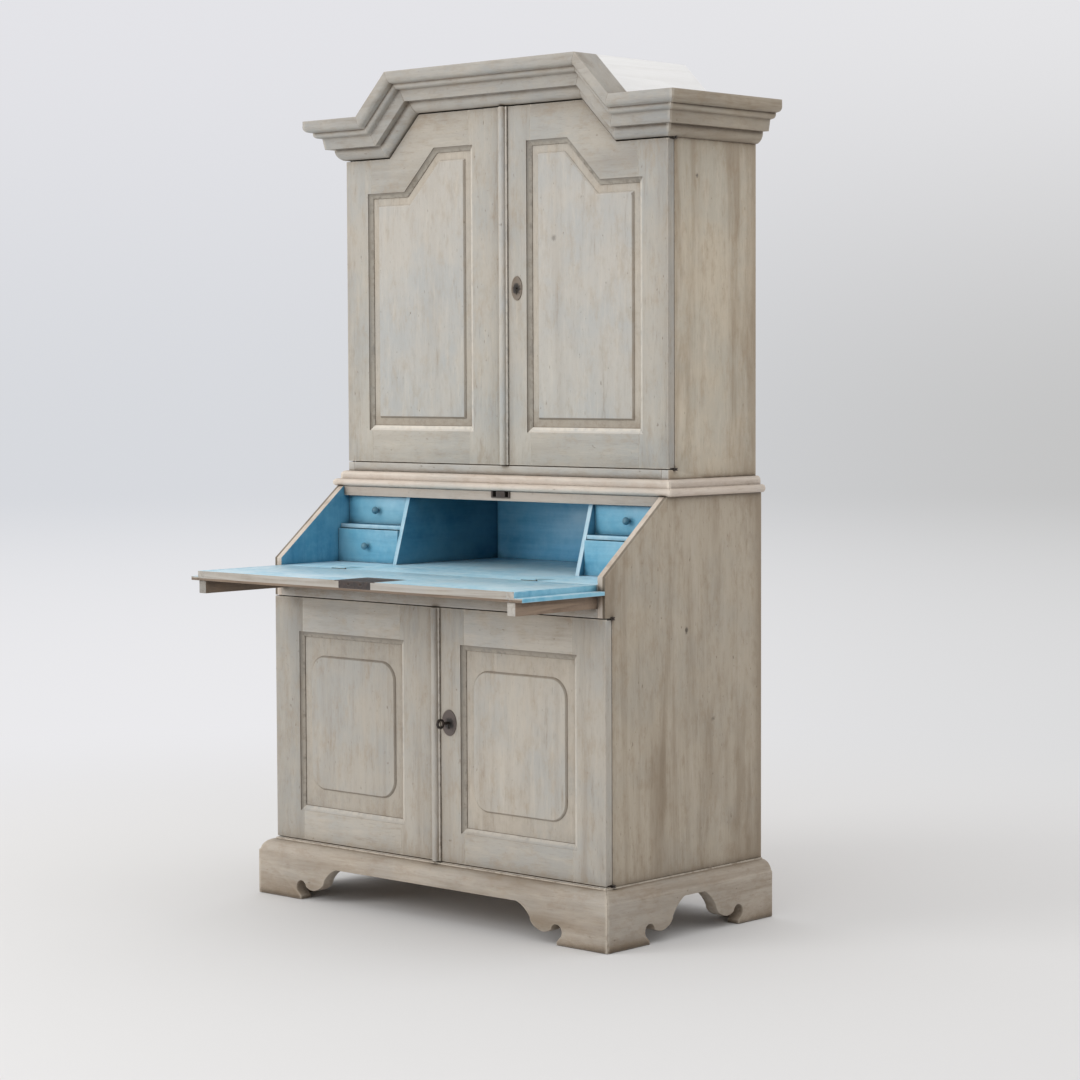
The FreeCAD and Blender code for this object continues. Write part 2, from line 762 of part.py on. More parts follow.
# Waist moulding in two rounded tiers round the foot of the upper case
lower_nose = waist_lower_height / 2
upper_tier = waist_height - waist_lower_height
upper_nose = upper_tier / 2
waist_profile = [
    (0, 0),
    (waist_lower_projection - lower_nose, 0),
    (waist_lower_projection, lower_nose, waist_lower_projection - lower_nose, waist_lower_height),
    (waist_upper_projection, waist_lower_height),
    (waist_upper_projection, waist_lower_height + upper_nose),
    (waist_upper_projection - upper_nose * 0.3, waist_height - upper_nose * 0.3,
     waist_upper_projection - upper_nose, waist_height),
    (0, waist_height),
]
save("waist_moulding", mitred_runs(
    waist_profile, round_three_sides(upper_half, upper_depth, base_height), three_sides_out))

# Upper case: sides, bottom and shelves
upper_side_top = cornice_foot + roof_rise
upper_side_outline = [
    (0, base_height),
    (upper_depth, base_height),
    (upper_depth, upper_floor_height),
    (upper_case_front, upper_floor_height),
    (upper_case_front, cornice_foot),
    (upper_depth, cornice_foot),
    (upper_depth, upper_side_top),
    (0, upper_side_top),
]
upper_rebate_half = upper_inner + back_board_rebate
upper_rebate = box(0, upper_rebate_half, 0, back_board_thickness, base_height, upper_side_top)
upper_side = side_board(upper_side_outline, upper_inner, upper_half).cut(upper_rebate)
for recess in upper_recesses:
    upper_side = upper_side.cut(recess)
save("upper_left_side", [mirrored(upper_side)])
save("upper_right_side", [upper_side])
save("upper_bottom", [box(-upper_inner, upper_inner, back_board_thickness, upper_depth,
                          upper_floor_height - upper_floor_thickness, upper_floor_height)])
shelf_places = [(base_inner, base_shelf_height, base_case_front - base_shelf_setback)]
for share in upper_shelf_shares:
    shelf_height = upper_floor_height + share * (cornice_foot - upper_floor_height)
    shelf_places.append((upper_inner, shelf_height, upper_case_front - upper_shelf_setback))
shelves = []
cleats = []
for half, height, front in shelf_places:
    shelves.append(box(-half + door_edge_gap / 4, half - door_edge_gap / 4, back_board_thickness, front,
                       height, height + shelf_thickness))
    cleats += both_sides(box(half - cleat_size, half, back_board_thickness, front - cleat_size,
                             height - cleat_size, height))
save("shelves", shelves)
save("shelf_cleats", cleats)

# Back boards of the top, sawn to the roof's line, and the roof boards
roof_foot, roof_peak = bonnet_corners(roof_rise)
left_edges = [-upper_rebate_half, -roof_foot[0], -roof_peak[0], 0]
upper_backs = []
for left, right in zip(left_edges, left_edges[1:]):
    left_top = roof_foot[1] if left < -roof_peak[0] else roof_peak[1]
    right_top = roof_foot[1] if right < -roof_peak[0] else roof_peak[1]
    outline = [(left, base_height), (right, base_height), (right, right_top), (left, left_top)]
    upper_backs += both_sides(front_board(outline, 0, back_board_thickness))
save("upper_back_boards", upper_backs)
roof_low = [(-upper_half, upper_side_top)] + bonnet_line(roof_rise) + [(upper_half, upper_side_top)]
roof_high = bonnet_line(cornice_height)
roof_high = [(-upper_half, roof_high[0][1])] + roof_high + [(upper_half, roof_high[-1][1])]
roof_boards = []
for index in range(len(roof_low) - 1):
    outline = [roof_low[index], roof_low[index + 1], roof_high[index + 1], roof_high[index]]
    roof_boards.append(front_board(outline, 0, upper_depth))
save("roof_boards", roof_boards)

# Frieze board in the plane of the doors, and the cornice that is nailed to it and to the sides
frieze_low = [(-upper_inner, cornice_foot)] + bonnet_line(0) + [(upper_inner, cornice_foot)]
frieze_high = [(upper_inner, upper_side_top)] + bonnet_line(roof_rise)[::-1] + [(-upper_inner, upper_side_top)]
save("frieze_board", [front_board(frieze_low + frieze_high, upper_depth - frieze_thickness, upper_depth)])
cornice_profile = []
for member in cornice_shares:
    sizes = (cornice_projection, cornice_height) * (len(member) // 2)
    cornice_profile.append(tuple(share * size for share, size in zip(member, sizes)))
cornice_path = [at(-upper_half, 0, cornice_foot), at(-upper_half, upper_depth, cornice_foot)]
cornice_path += [at(x, upper_depth, z) for x, z in bonnet_line(0)]
cornice_path += [at(upper_half, upper_depth, cornice_foot), at(upper_half, 0, cornice_foot)]
cornice_runs = mitred_runs(cornice_profile, cornice_path, [across * -1] + [forward] * 5 + [across])
save("front_cornice", cornice_runs[1:-1])
side_cornice = cornice_runs[-1]
for recess in upper_recesses:
    side_cornice = side_cornice.cut(recess)
save("side_cornices", both_sides(side_cornice))


# Doors: grooved frames with fielded panels
def door_frame_and_panel(front, opening, members, field):
    """Frame members with a stepped chamfer around the opening and a groove, and the panel that stands in the groove."""
    back = front - door_thickness
    face = polygon([at(x, front, z) for x, z in opening])
    flare = face.makeOffset2D(frame_chamfer, 2)
    quirk = flare.extrude(forward * -frame_quirk)
    flare = flare.OuterWire
    flare.translate(forward * -frame_quirk)
    inside = face.OuterWire.copy()
    inside.translate(forward * -frame_chamfer_depth)
    chamfer = Part.makeLoft([inside, flare], True, True)
    groove_front = front - groove_setback
    groove = face.makeOffset2D(groove_depth, 2).extrude(forward * -groove_width)
    groove.translate(forward * -groove_setback)
    tongue = face.makeOffset2D(groove_depth - panel_clearance, 2)
    tongue = tongue.extrude(forward * -(groove_width - 2 * panel_clearance))
    tongue.translate(forward * -(groove_setback + panel_clearance))
    frame = []
    for outline in members:
        frame.append(front_board(outline, back, front).cut(quirk).cut(chamfer).cut(groove))
    raised = field(groove_front - panel_clearance)
    return frame, tongue.fuse(raised).removeSplitter()


def chamfered_front(solid, front):
    edges = []
    for edge in solid.Edges:
        if all(abs(vertex.Y - (rear - front)) < 1e-6 for vertex in edge.Vertexes):
            edges.append(edge)
    return solid.makeChamfer(field_chamfer, edges)


half_gap = door_meeting_gap / 2
upper_left_edge = half_gap + upper_meeting_stile
upper_right_edge = upper_half - upper_hinge_stile
upper_low_edge = upper_door_low + upper_bottom_rail
panel_foot_x = rake_foot - panel_rake_inset
panel_peak_x = panel_foot_x - rake_rise / math.tan(rake_angle)
panel_foot_z = upper_hinge_side_top - upper_top_rail
panel_peak_z = panel_foot_z + rake_rise
upper_opening = [
    (upper_left_edge, upper_low_edge),
    (upper_right_edge, upper_low_edge),
    (upper_right_edge, panel_foot_z),
    (panel_foot_x, panel_foot_z),
    (panel_peak_x, panel_peak_z),
    (upper_left_edge, panel_peak_z),
]
door_foot, door_peak = bonnet_corners(-door_top_gap)
upper_members = [
    [(half_gap, upper_door_low), (upper_left_edge, upper_door_low),
     (upper_left_edge, upper_centre_top), (half_gap, upper_centre_top)],
    [(upper_right_edge, upper_door_low), (upper_half, upper_door_low),
     (upper_half, upper_hinge_side_top), (upper_right_edge, upper_hinge_side_top)],
    [(upper_left_edge, upper_door_low), (upper_right_edge, upper_door_low),
     (upper_right_edge, upper_low_edge), (upper_left_edge, upper_low_edge)],
    [(upper_left_edge, panel_peak_z), (panel_peak_x, panel_peak_z), (panel_foot_x, panel_foot_z),
     (upper_right_edge, panel_foot_z), (upper_right_edge, upper_hinge_side_top),
     door_foot, door_peak, (upper_left_edge, upper_centre_top)],
]


def upper_field(panel_front):
    face = polygon([at(x, panel_front, z) for x, z in upper_opening]).makeOffset2D(-upper_field_inset, 2)
    return chamfered_front(face.extrude(forward * field_height), panel_front + field_height)


base_left_edge = half_gap + base_meeting_stile
base_right_edge = base_half - base_hinge_stile
base_low_edge = base_door_low + base_bottom_rail
base_high_edge = base_door_top - base_top_rail
base_opening = [
    (base_left_edge, base_low_edge),
    (base_right_edge, base_low_edge),
    (base_right_edge, base_high_edge),
    (base_left_edge, base_high_edge),
]
base_members = [
    [(half_gap, base_door_low), (base_left_edge, base_door_low),
     (base_left_edge, base_door_top), (half_gap, base_door_top)],
    [(base_right_edge, base_door_low), (base_half, base_door_low),
     (base_half, base_door_top), (base_right_edge, base_door_top)],
    [(base_left_edge, base_door_low), (base_right_edge, base_door_low),
     (base_right_edge, base_low_edge), (base_left_edge, base_low_edge)],
    [(base_left_edge, base_high_edge), (base_right_edge, base_high_edge),
     (base_right_edge, base_door_top), (base_left_edge, base_door_top)],
]


def base_field(panel_front):
    block = box(base_left_edge + base_field_inset_x, base_right_edge - base_field_inset_x,
                panel_front, panel_front + field_height,
                base_low_edge + base_field_inset_z, base_high_edge - base_field_inset_z)
    corners = [edge for edge in block.Edges if abs(edge.Vertexes[0].Y - edge.Vertexes[1].Y) > 1e-6]
    return chamfered_front(block.makeFillet(base_field_radius, corners), panel_front + field_height)


upper_frame, upper_panel = door_frame_and_panel(upper_depth, upper_opening, upper_members, upper_field)
base_frame, base_panel = door_frame_and_panel(base_depth, base_opening, base_members, base_field)
for recess in upper_recesses:
    upper_frame = [member.cut(recess) for member in upper_frame]
for recess in base_recesses:
    base_frame = [member.cut(recess) for member in base_frame]
save("upper_left_frame", [mirrored(member) for member in upper_frame])
save("upper_left_panel", [mirrored(upper_panel)])
save("base_left_frame", [mirrored(member) for member in base_frame])
save("base_left_panel", [mirrored(base_panel)])
save("upper_right_panel", [upper_panel])
save("base_right_panel", [base_panel])
save("upper_left_hinge_leaves", [mirrored(leaf) for leaf in upper_door_leaves])
save("upper_right_hinge_leaves", upper_door_leaves)
save("base_left_hinge_leaves", [mirrored(leaf) for leaf in base_door_leaves])
save("base_right_hinge_leaves", base_door_leaves)

case_leaves = []
door_pins = []
for leaf in base_case_leaves + upper_case_leaves:
    case_leaves += both_sides(leaf)
for pin in base_pins + upper_pins:
    door_pins += both_sides(pin)
save("hinge_case_leaves", case_leaves + bed_leaves)
save("hinge_pins", door_pins + fall_pins)

# The right-hand doors carry the cover bar, the lock and its escutcheon
astragal_profile = [
    (0, 0),
    (astragal_width, 0),
    (astragal_width, astragal_fillet),
    (astragal_width - astragal_fillet, astragal_fillet),
    (astragal_width / 2, astragal_height, astragal_fillet, astragal_fillet),
    (0, astragal_fillet),
]


def cover_bar(front, low, high):
    face = curved_face(astragal_profile, lambda x, proud: at(half_gap + x, front + proud, low))
    return face.extrude(upward * (high - low))


def cupboard_lock(front, height):
    """Lock case on the door's back with room for its bolt and the key's bit, and the bolt itself."""
    back = front - door_thickness
    key_x = lock_key_offset
    low = height - (lock_height - lock_bolt_rise - lock_bolt_height / 2) / 2 - lock_plate_thickness
    case = box(lock_edge, lock_edge + lock_width, back - lock_thickness, back, low, low + lock_height)
    middle = back - lock_thickness / 2
    half = lock_bolt_thickness / 2
    bolt_foot = height + lock_bolt_rise - lock_bolt_height / 2
    bolt_right = lock_edge + running_gap + lock_bolt_length
    bolt = box(lock_edge + running_gap, bolt_right, middle - half, middle + half, bolt_foot,
               bolt_foot + lock_bolt_height)
    slot = box(lock_edge, bolt_right + running_gap, middle - half - running_gap, middle + half + running_gap,
               bolt_foot - running_gap, bolt_foot + lock_bolt_height + running_gap)
    sweep = rod(at(key_x, middle - half - running_gap, height), forward,
                key_bit_length + running_gap, lock_bolt_thickness + 2 * running_gap)
    entry = keyhole(key_x, height, middle - half, back)
    return case.cut(slot).cut(sweep).cut(entry), bolt


for name, frame, front, height, radii, low, high in (
        ("upper", upper_frame, upper_depth, upper_lock_height, upper_escutcheon_radii,
         upper_door_low, upper_centre_top),
        ("base", base_frame, base_depth, base_lock_height, base_escutcheon_radii, base_door_low, base_door_top)):
    drilled = keyhole(lock_key_offset, height, front - door_thickness, front)
    save(f"{name}_right_frame", [member.cut(drilled) for member in frame])
    save(f"{name}_astragal", [cover_bar(front, low, high)])
    lock, bolt = cupboard_lock(front, height)
    save(f"{name}_lock", [lock, escutcheon(lock_key_offset, height, front, radii)])
    save(f"{name}_bolt", [bolt])

# Key in the lower lock: bow, shank and bit
key_inner = base_depth - door_thickness - lock_thickness / 2 - lock_bolt_thickness / 2
bow_outer = key_bow_radius + key_bow_width / 2
bow_inner = key_bow_radius - key_bow_width / 2
bow_depth = base_depth + key_reach - bow_outer
shank = rod(at(lock_key_offset, key_inner, base_lock_height), forward, key_shank_radius,
            bow_depth - key_bow_radius - key_inner)
bow_side = at(lock_key_offset - key_bow_thickness / 2, bow_depth, base_lock_height)
bow = rod(bow_side, across, bow_outer, key_bow_thickness).cut(rod(bow_side, across, bow_inner, key_bow_thickness))
bit = box(lock_key_offset - key_bit_thickness / 2, lock_key_offset + key_bit_thickness / 2,
          key_inner, key_inner + key_bit_width, base_lock_height - key_bit_length, base_lock_height)
save("base_key", [shank.fuse([bow, bit]).removeSplitter()])
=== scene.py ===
import bpy
import bmesh
import json
import math
import random
from mathutils import Matrix, Vector


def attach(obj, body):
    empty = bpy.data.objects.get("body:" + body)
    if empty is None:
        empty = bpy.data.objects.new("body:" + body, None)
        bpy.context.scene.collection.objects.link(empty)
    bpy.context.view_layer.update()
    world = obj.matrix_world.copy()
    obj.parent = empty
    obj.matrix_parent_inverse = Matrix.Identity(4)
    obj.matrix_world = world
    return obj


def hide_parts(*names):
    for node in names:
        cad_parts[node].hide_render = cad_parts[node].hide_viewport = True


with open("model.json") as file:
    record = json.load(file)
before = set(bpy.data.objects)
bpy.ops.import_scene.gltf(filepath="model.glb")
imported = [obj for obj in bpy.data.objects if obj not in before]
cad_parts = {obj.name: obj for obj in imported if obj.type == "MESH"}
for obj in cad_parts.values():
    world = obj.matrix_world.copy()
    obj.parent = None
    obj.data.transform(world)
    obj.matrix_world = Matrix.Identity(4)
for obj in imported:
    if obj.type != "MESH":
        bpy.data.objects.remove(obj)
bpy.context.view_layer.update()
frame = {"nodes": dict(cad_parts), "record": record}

scene = bpy.context.scene
bodies = frame["record"]["behaviour"]["bodies"]
bodyOf = {node: body for body, nodes in bodies.items() for node in nodes}
print("desk loaded:", len(frame["nodes"]), "nodes")


def addObject(name, data):
    thing = bpy.data.objects.new(name, data)
    scene.collection.objects.link(thing)
    return thing


# camera at the photograph's height and angle
photoCamera = {
    "place": (4.4842, -4.6496, 1.2323),
    "yaw": 42.619,
    "pitch": -3.369,
    "roll": -0.234,
    "lens": 94.6,
    "sensor": 36,
    "reach": 100,
}


def placeCamera(spec):
    camera = bpy.data.cameras.new("photoCamera")
    camera.lens = spec["lens"]
    camera.sensor_width = spec["sensor"]
    camera.clip_end = spec["reach"]
    holder = addObject("photoCamera", camera)
    yaw, pitch, roll = (math.radians(spec[key]) for key in ("yaw", "pitch", "roll"))
    turn = Matrix.Rotation(yaw, 4, "Z") @ Matrix.Rotation(math.pi / 2 + pitch, 4, "X")
    holder.matrix_world = Matrix.Translation(spec["place"]) @ (turn @ Matrix.Rotation(roll, 4, "Z"))
    scene.camera = holder


placeCamera(photoCamera)
scene.view_settings.view_transform = "Standard"
print("camera set")


# small helpers for node trees; a value is a socket, a number, a vector or a colour
def link(tree, value, socket):
    if isinstance(value, bpy.types.NodeSocket):
        tree.links.new(value, socket)
    elif isinstance(value, tuple) and len(value) == 3 and len(socket.default_value) == 4:
        socket.default_value = (*value, 1)
    else:
        socket.default_value = value


def calc(tree, kind, first, second=0.0):
    node = tree.nodes.new("ShaderNodeMath")
    node.operation = kind
    link(tree, first, node.inputs[0])
    link(tree, second, node.inputs[1])
    return node.outputs[0]


def vectorCalc(tree, kind, *values):
    node = tree.nodes.new("ShaderNodeVectorMath")
    node.operation = kind
    for value, socket in zip(values, node.inputs):
        link(tree, value, socket)
    return node.outputs["Value" if kind in ("DOT_PRODUCT", "LENGTH", "DISTANCE") else "Vector"]


def ranged(tree, value, low, high, start=0.0, end=1.0, kind="SMOOTHSTEP"):
    node = tree.nodes.new("ShaderNodeMapRange")
    node.interpolation_type = kind
    link(tree, value, node.inputs["Value"])
    node.inputs["From Min"].default_value = low
    node.inputs["From Max"].default_value = high
    node.inputs["To Min"].default_value = start
    node.inputs["To Max"].default_value = end
    return node.outputs[0]


def patchy(tree, amount, noise, low, high, thin, full):
    return calc(tree, "MULTIPLY", amount, ranged(tree, noise, low, high, thin, full))


def summed(tree, first, firstShare, second, secondShare):
    first = calc(tree, "MULTIPLY", first, firstShare)
    return calc(tree, "ADD", first, calc(tree, "MULTIPLY", second, secondShare))


def layered(tree, amount, under, over, kind="MIX"):
    node = tree.nodes.new("ShaderNodeMix")
    node.data_type = "RGBA"
    node.blend_type = kind
    link(tree, amount, node.inputs[0])
    link(tree, under, node.inputs[6])
    link(tree, over, node.inputs[7])
    return node.outputs[2]


def splitAxes(tree, value):
    node = tree.nodes.new("ShaderNodeSeparateXYZ")
    link(tree, value, node.inputs[0])
    return node.outputs


def joinShaders(tree, amount, under, over, out):
    node = tree.nodes.new("ShaderNodeMixShader")
    link(tree, amount, node.inputs[0])
    link(tree, under.outputs[0], node.inputs[1])
    link(tree, over.outputs[0], node.inputs[2])
    link(tree, node.outputs[0], out.inputs["Surface"])


def startFinish(name):
    finish = bpy.data.materials.new(name)
    finish.use_nodes = True
    return finish, finish.node_tree, finish.node_tree.nodes["Principled BSDF"]


# soft room light, with one large lamp to the front left
studio = {
    "fillLow": 0.62,
    "fillHigh": 1.22,
    "fillColour": (1.0, 0.99, 0.975),
    "acrossView": (0.736, 0.677, 0.0),
    "acrossFade": (-0.12, 0.22),
    "backTopLeft": (0.775, 0.775, 0.808),
    "backTopRight": (0.790, 0.788, 0.805),
    "backLowLeft": (0.680, 0.695, 0.730),
    "backLowRight": (0.555, 0.555, 0.555),
    "backFade": (-0.03, 0.14),
    "keyPlace": (-2.7, -5.0, 2.5),
    "keyAim": (0, 0, 0.95),
    "keySize": 3.2,
    "keyPower": 135,
    "keyColour": (1.0, 0.985, 0.96),
    "floorColour": (0.700, 0.700, 0.708),
    "floorLeft": (0.825, 0.822, 0.842),
    "floorRight": (0.715, 0.715, 0.722),
    "floorRadius": 40,
    "floorSides": 96,
    "floorDrop": 0.0005,
    "floorRough": 0.85,
    "floorShine": 0.1,
    "floorFade": (1.3, 3.6),
    "horizonFade": (3.0, 24.0),
}


def acrossView(tree, direction, spec):
    return ranged(tree, vectorCalc(tree, "DOT_PRODUCT", direction, spec["acrossView"]), *spec["acrossFade"])


def lightStudio(spec):
    world = bpy.data.worlds.new("studioAir")
    world.use_nodes = True
    tree = world.node_tree
    tree.nodes.clear()
    out = tree.nodes.new("ShaderNodeOutputWorld")
    place = tree.nodes.new("ShaderNodeTexCoord").outputs["Generated"]
    height = splitAxes(tree, place)["Z"]
    fill = tree.nodes.new("ShaderNodeBackground")
    link(tree, spec["fillColour"], fill.inputs["Color"])
    strength = ranged(tree, height, 0.0, 1.0, spec["fillLow"], spec["fillHigh"], "LINEAR")
    link(tree, strength, fill.inputs["Strength"])
    seen = tree.nodes.new("ShaderNodeBackground")
    across = acrossView(tree, place, spec)
    low = layered(tree, across, spec["backLowLeft"], spec["backLowRight"])
    top = layered(tree, across, spec["backTopLeft"], spec["backTopRight"])
    link(tree, layered(tree, ranged(tree, height, *spec["backFade"]), low, top), seen.inputs["Color"])
    # the backdrop is there to be seen, the fill only lights
    rays = tree.nodes.new("ShaderNodeLightPath").outputs
    direct = calc(tree, "MAXIMUM", rays["Is Camera Ray"], rays["Is Glossy Ray"])
    direct = calc(tree, "MAXIMUM", direct, rays["Is Transmission Ray"])
    joinShaders(tree, direct, fill, seen, out)
    scene.world = world

    lamp = bpy.data.lights.new("softKey", "AREA")
    lamp.shape = "SQUARE"
    lamp.size = spec["keySize"]
    lamp.energy = spec["keyPower"]
    lamp.color = spec["keyColour"]
    holder = addObject("softKey", lamp)
    aim = Vector(spec["keyAim"]) - Vector(spec["keyPlace"])
    turn = aim.to_track_quat("-Z", "Y").to_matrix().to_4x4()
    holder.matrix_world = Matrix.Translation(spec["keyPlace"]) @ turn


def layFloor(spec):
    bm = bmesh.new()
    bmesh.ops.create_circle(bm, cap_ends=True, segments=spec["floorSides"], radius=spec["floorRadius"])
    mesh = bpy.data.meshes.new("studioFloor")
    bm.to_mesh(mesh)
    bm.free()
    floor = addObject("studioFloor", mesh)
    floor.location.z = -spec["floorDrop"]
    paint, tree, shader = startFinish("studioFloor")
    link(tree, spec["floorColour"], shader.inputs["Base Color"])
    link(tree, spec["floorRough"], shader.inputs["Roughness"])
    link(tree, spec["floorShine"], shader.inputs["Specular IOR Level"])
    place = tree.nodes.new("ShaderNodeTexCoord").outputs["Object"]
    distance = vectorCalc(tree, "LENGTH", place)
    # far off the floor takes the backdrop's own shading
    sight = vectorCalc(tree, "NORMALIZE", vectorCalc(tree, "SUBTRACT", place, photoCamera["place"]))
    across = acrossView(tree, sight, spec)
    near = layered(tree, across, spec["floorLeft"], spec["floorRight"])
    horizon = layered(tree, across, spec["backLowLeft"], spec["backLowRight"])
    far = tree.nodes.new("ShaderNodeEmission")
    link(tree, layered(tree, ranged(tree, distance, *spec["horizonFade"]), near, horizon), far.inputs["Color"])
    seen = tree.nodes.new("ShaderNodeLightPath").outputs["Is Camera Ray"]
    amount = calc(tree, "MULTIPLY", ranged(tree, distance, *spec["floorFade"]), seen)
    joinShaders(tree, amount, shader, far, tree.nodes["Material Output"])
    mesh.materials.append(paint)


lightStudio(studio)
layFloor(studio)
print("studio lit")

boardShift = (3.17, 5.71, 7.93)  # moves the figure from board to board
creviceSamples = 6


# helpers for the finishes
def cloudy(tree, place, scale, detail, rough, twist=0.0):
    node = tree.nodes.new("ShaderNodeTexNoise")
    link(tree, place, node.inputs["Vector"])
    node.inputs["Scale"].default_value = scale
    node.inputs["Detail"].default_value = detail
    node.inputs["Roughness"].default_value = rough
    node.inputs["Distortion"].default_value = twist
    return node.outputs[0]


def grained(tree, place, axis, across, along, detail, rough, twist=0.0):
    node = tree.nodes.new("ShaderNodeMapping")
    link(tree, place, node.inputs["Vector"])
    node.inputs["Scale"].default_value = tuple(along if axis == i else across for i in range(3))
    return cloudy(tree, node.outputs[0], 1.0, detail, rough, twist)


def boardMarks(tree):
    # what makeBoards wrote on the faces, and the place moved so that no figure runs over a joint
    fixed = tree.nodes.new("ShaderNodeTexCoord").outputs["Object"]
    mark = tree.nodes.new("ShaderNodeAttribute")
    mark.attribute_name = "board"
    tone, washing, seed = splitAxes(tree, mark.outputs["Vector"])
    spread = tree.nodes.new("ShaderNodeCombineXYZ")
    for socket in spread.inputs:
        link(tree, seed, socket)
    place = vectorCalc(tree, "MULTIPLY_ADD", spread.outputs[0], boardShift, fixed)
    return {"place": place, "fixed": fixed, "tone": tone, "washing": washing}


# ambient occlusion, low in hollows and under overhangs: used for painted shade there, and turned inside for
# wear on the edges
def crevice(tree, reach, inside=False):
    node = tree.nodes.new("ShaderNodeAmbientOcclusion")
    node.samples = creviceSamples
    node.inside = inside
    node.inputs["Distance"].default_value = reach
    return node.outputs["AO"]


def roundMark(tree, place, spot, noise, inner, outer, depth, wobble=0.003):
    away = vectorCalc(tree, "DISTANCE", place, spot)
    ragged = calc(tree, "ADD", away, ranged(tree, noise, 0.3, 0.7, -wobble, wobble))
    return ranged(tree, ragged, inner, outer, depth, 0.0)


def surfaced(tree, shader, colour, rough, relief, depth, strength):
    link(tree, colour, shader.inputs["Base Color"])
    link(tree, rough, shader.inputs["Roughness"])
    bump = tree.nodes.new("ShaderNodeBump")
    bump.inputs["Strength"].default_value = strength
    bump.inputs["Distance"].default_value = depth
    link(tree, relief, bump.inputs["Height"])
    link(tree, bump.outputs[0], shader.inputs["Normal"])


greyPaint = {
    "pale": (0.462, 0.436, 0.396),
    "cool": (0.408, 0.408, 0.396),
    "warm": (0.388, 0.334, 0.270),
    "tint": (0.262, 0.205, 0.148),
    "wash": (0.238, 0.185, 0.135),
    "line": (0.155, 0.122, 0.092),
    "shadeAndGrime": (0.040, 0.031, 0.025),
    "bare": (0.545, 0.505, 0.445),
    "tintReach": 0.085,
    "knots": (((0.1658, 0.0934, 1.5357), 0.45),),
}
# painted highlight: a lighter copy of the grey, with less darkening, for moulding faces turned toward the lamp
litMouldingPaint = {
    **greyPaint,
    "tint": (0.400, 0.362, 0.312),
    "wash": (0.360, 0.312, 0.256),
    "shadeAndGrime": (0.250, 0.215, 0.176),
    "knots": (),
}
framePaint = {
    "pale": (0.462, 0.428, 0.376),
    "cool": (0.408, 0.400, 0.376),
    "warm": (0.388, 0.327, 0.256),
    "tint": (0.262, 0.201, 0.140),
    "wash": (0.238, 0.181, 0.128),
    "line": (0.155, 0.120, 0.088),
    "shadeAndGrime": (0.040, 0.031, 0.024),
    "bare": (0.545, 0.497, 0.425),
    "tintReach": 0.085,
}
# painted shade: a darker, browner copy of the frame paint for the mouldings and sunk margins
shadedMouldingPaint = {
    "pale": (0.448, 0.405, 0.346),
    "cool": (0.400, 0.380, 0.344),
    "warm": (0.360, 0.296, 0.226),
    "tint": (0.235, 0.176, 0.122),
    "wash": (0.225, 0.168, 0.116),
    "line": (0.145, 0.110, 0.080),
    "shadeAndGrime": (0.036, 0.027, 0.021),
    "bare": (0.560, 0.508, 0.432),
    "tintReach": 0.060,
    "browned": (("Z", 1.118),),
}
sidePaint = {
    "pale": (0.495, 0.428, 0.340),
    "cool": (0.445, 0.398, 0.330),
    "warm": (0.365, 0.288, 0.206),
    "tint": (0.250, 0.188, 0.128),
    "wash": (0.235, 0.172, 0.112),
    "line": (0.160, 0.120, 0.085),
    "shadeAndGrime": (0.055, 0.041, 0.031),
    "bare": (0.560, 0.500, 0.420),
    "tintReach": 0.085,
    "stains": 0.50,
    "browned": (("Y", -0.1381), ("Y", 0.3969)),
    "knots": (((0.520, 0.1316, 0.6661), 0.80), ((0.520, 0.2238, 0.4655), 0.55)),
}
upperSidePaint = {
    **sidePaint,
    "pale": (0.490, 0.428, 0.338),
    "cool": (0.428, 0.392, 0.326),
    "stains": 0.62,
    "browned": (("Y", 0.0899), ("Y", 0.3969)),
    "knots": (((0.504, 0.1903, 1.6644), 0.80),),
}
# a darker tint in the cornice's coves, as painted shade
cornicePaint = {
    **sidePaint,
    "tint": (0.150, 0.108, 0.070),
    "tintReach": 0.050,
    "browned": (),
}
plinthPaint = {
    **sidePaint,
    "pale": (0.495, 0.434, 0.366),
    "cool": (0.445, 0.404, 0.354),
    "warm": (0.365, 0.292, 0.222),
    "tintReach": 0.030,
    "browned": (),
}
creamPaint = {
    "pale": (0.560, 0.488, 0.425),
    "cool": (0.490, 0.445, 0.398),
    "warm": (0.455, 0.372, 0.302),
    "tint": (0.340, 0.262, 0.198),
    "wash": (0.300, 0.228, 0.166),
    "line": (0.195, 0.148, 0.110),
    "shadeAndGrime": (0.048, 0.036, 0.028),
    "bare": (0.640, 0.575, 0.500),
    "tintReach": 0.030,
}
# what the grey paints share
greyWork = {
    "broad": (5.0, 6, 0.66),
    "blot": (60, 5, 0.68),
    # across the grain, along it, detail, roughness, twist
    "grains": {
        "brush": (46, 6, 7, 0.74, 0.2),
        "fine": (260, 30, 4, 0.65),
        "mottle": (34, 17, 6, 0.74),
        "wash": (15, 0.9, 6, 0.68, 0.35),
        "speck": (150, 62, 2, 0.5),
    },
    "stain": (9, 1.5, 4, 0.58, 0.3),
    # which grain, where it starts and is full, how deep, and the colour
    "coats": (
        ("mottle", 0.47, 0.70, 0.60, "warm"),
        ("brush", 0.52, 0.28, 0.55, "bare"),
        ("brush", 0.54, 0.78, 0.60, "wash"),
        ("wash", 0.46, 0.74, 1.0, "wash"),
        ("fine", 0.54, 0.80, 0.35, "line"),
        ("speck", 0.70, 0.79, 0.65, "line"),
    ),
    "brownReach": (0.004, 0.040),
    "brownDepth": 0.50,
    "brownWobble": 0.012,
    "knotReach": (0.001, 0.008),
    "tintDepth": 0.95,
    "footHeight": 0.085,
    "footDepth": 0.40,
    "shadeAndDirtReach": 0.018,
    "wearReach": 0.007,
    "shine": 0.3,
    "relief": 0.0016,
    "reliefStrength": 0.6,
}


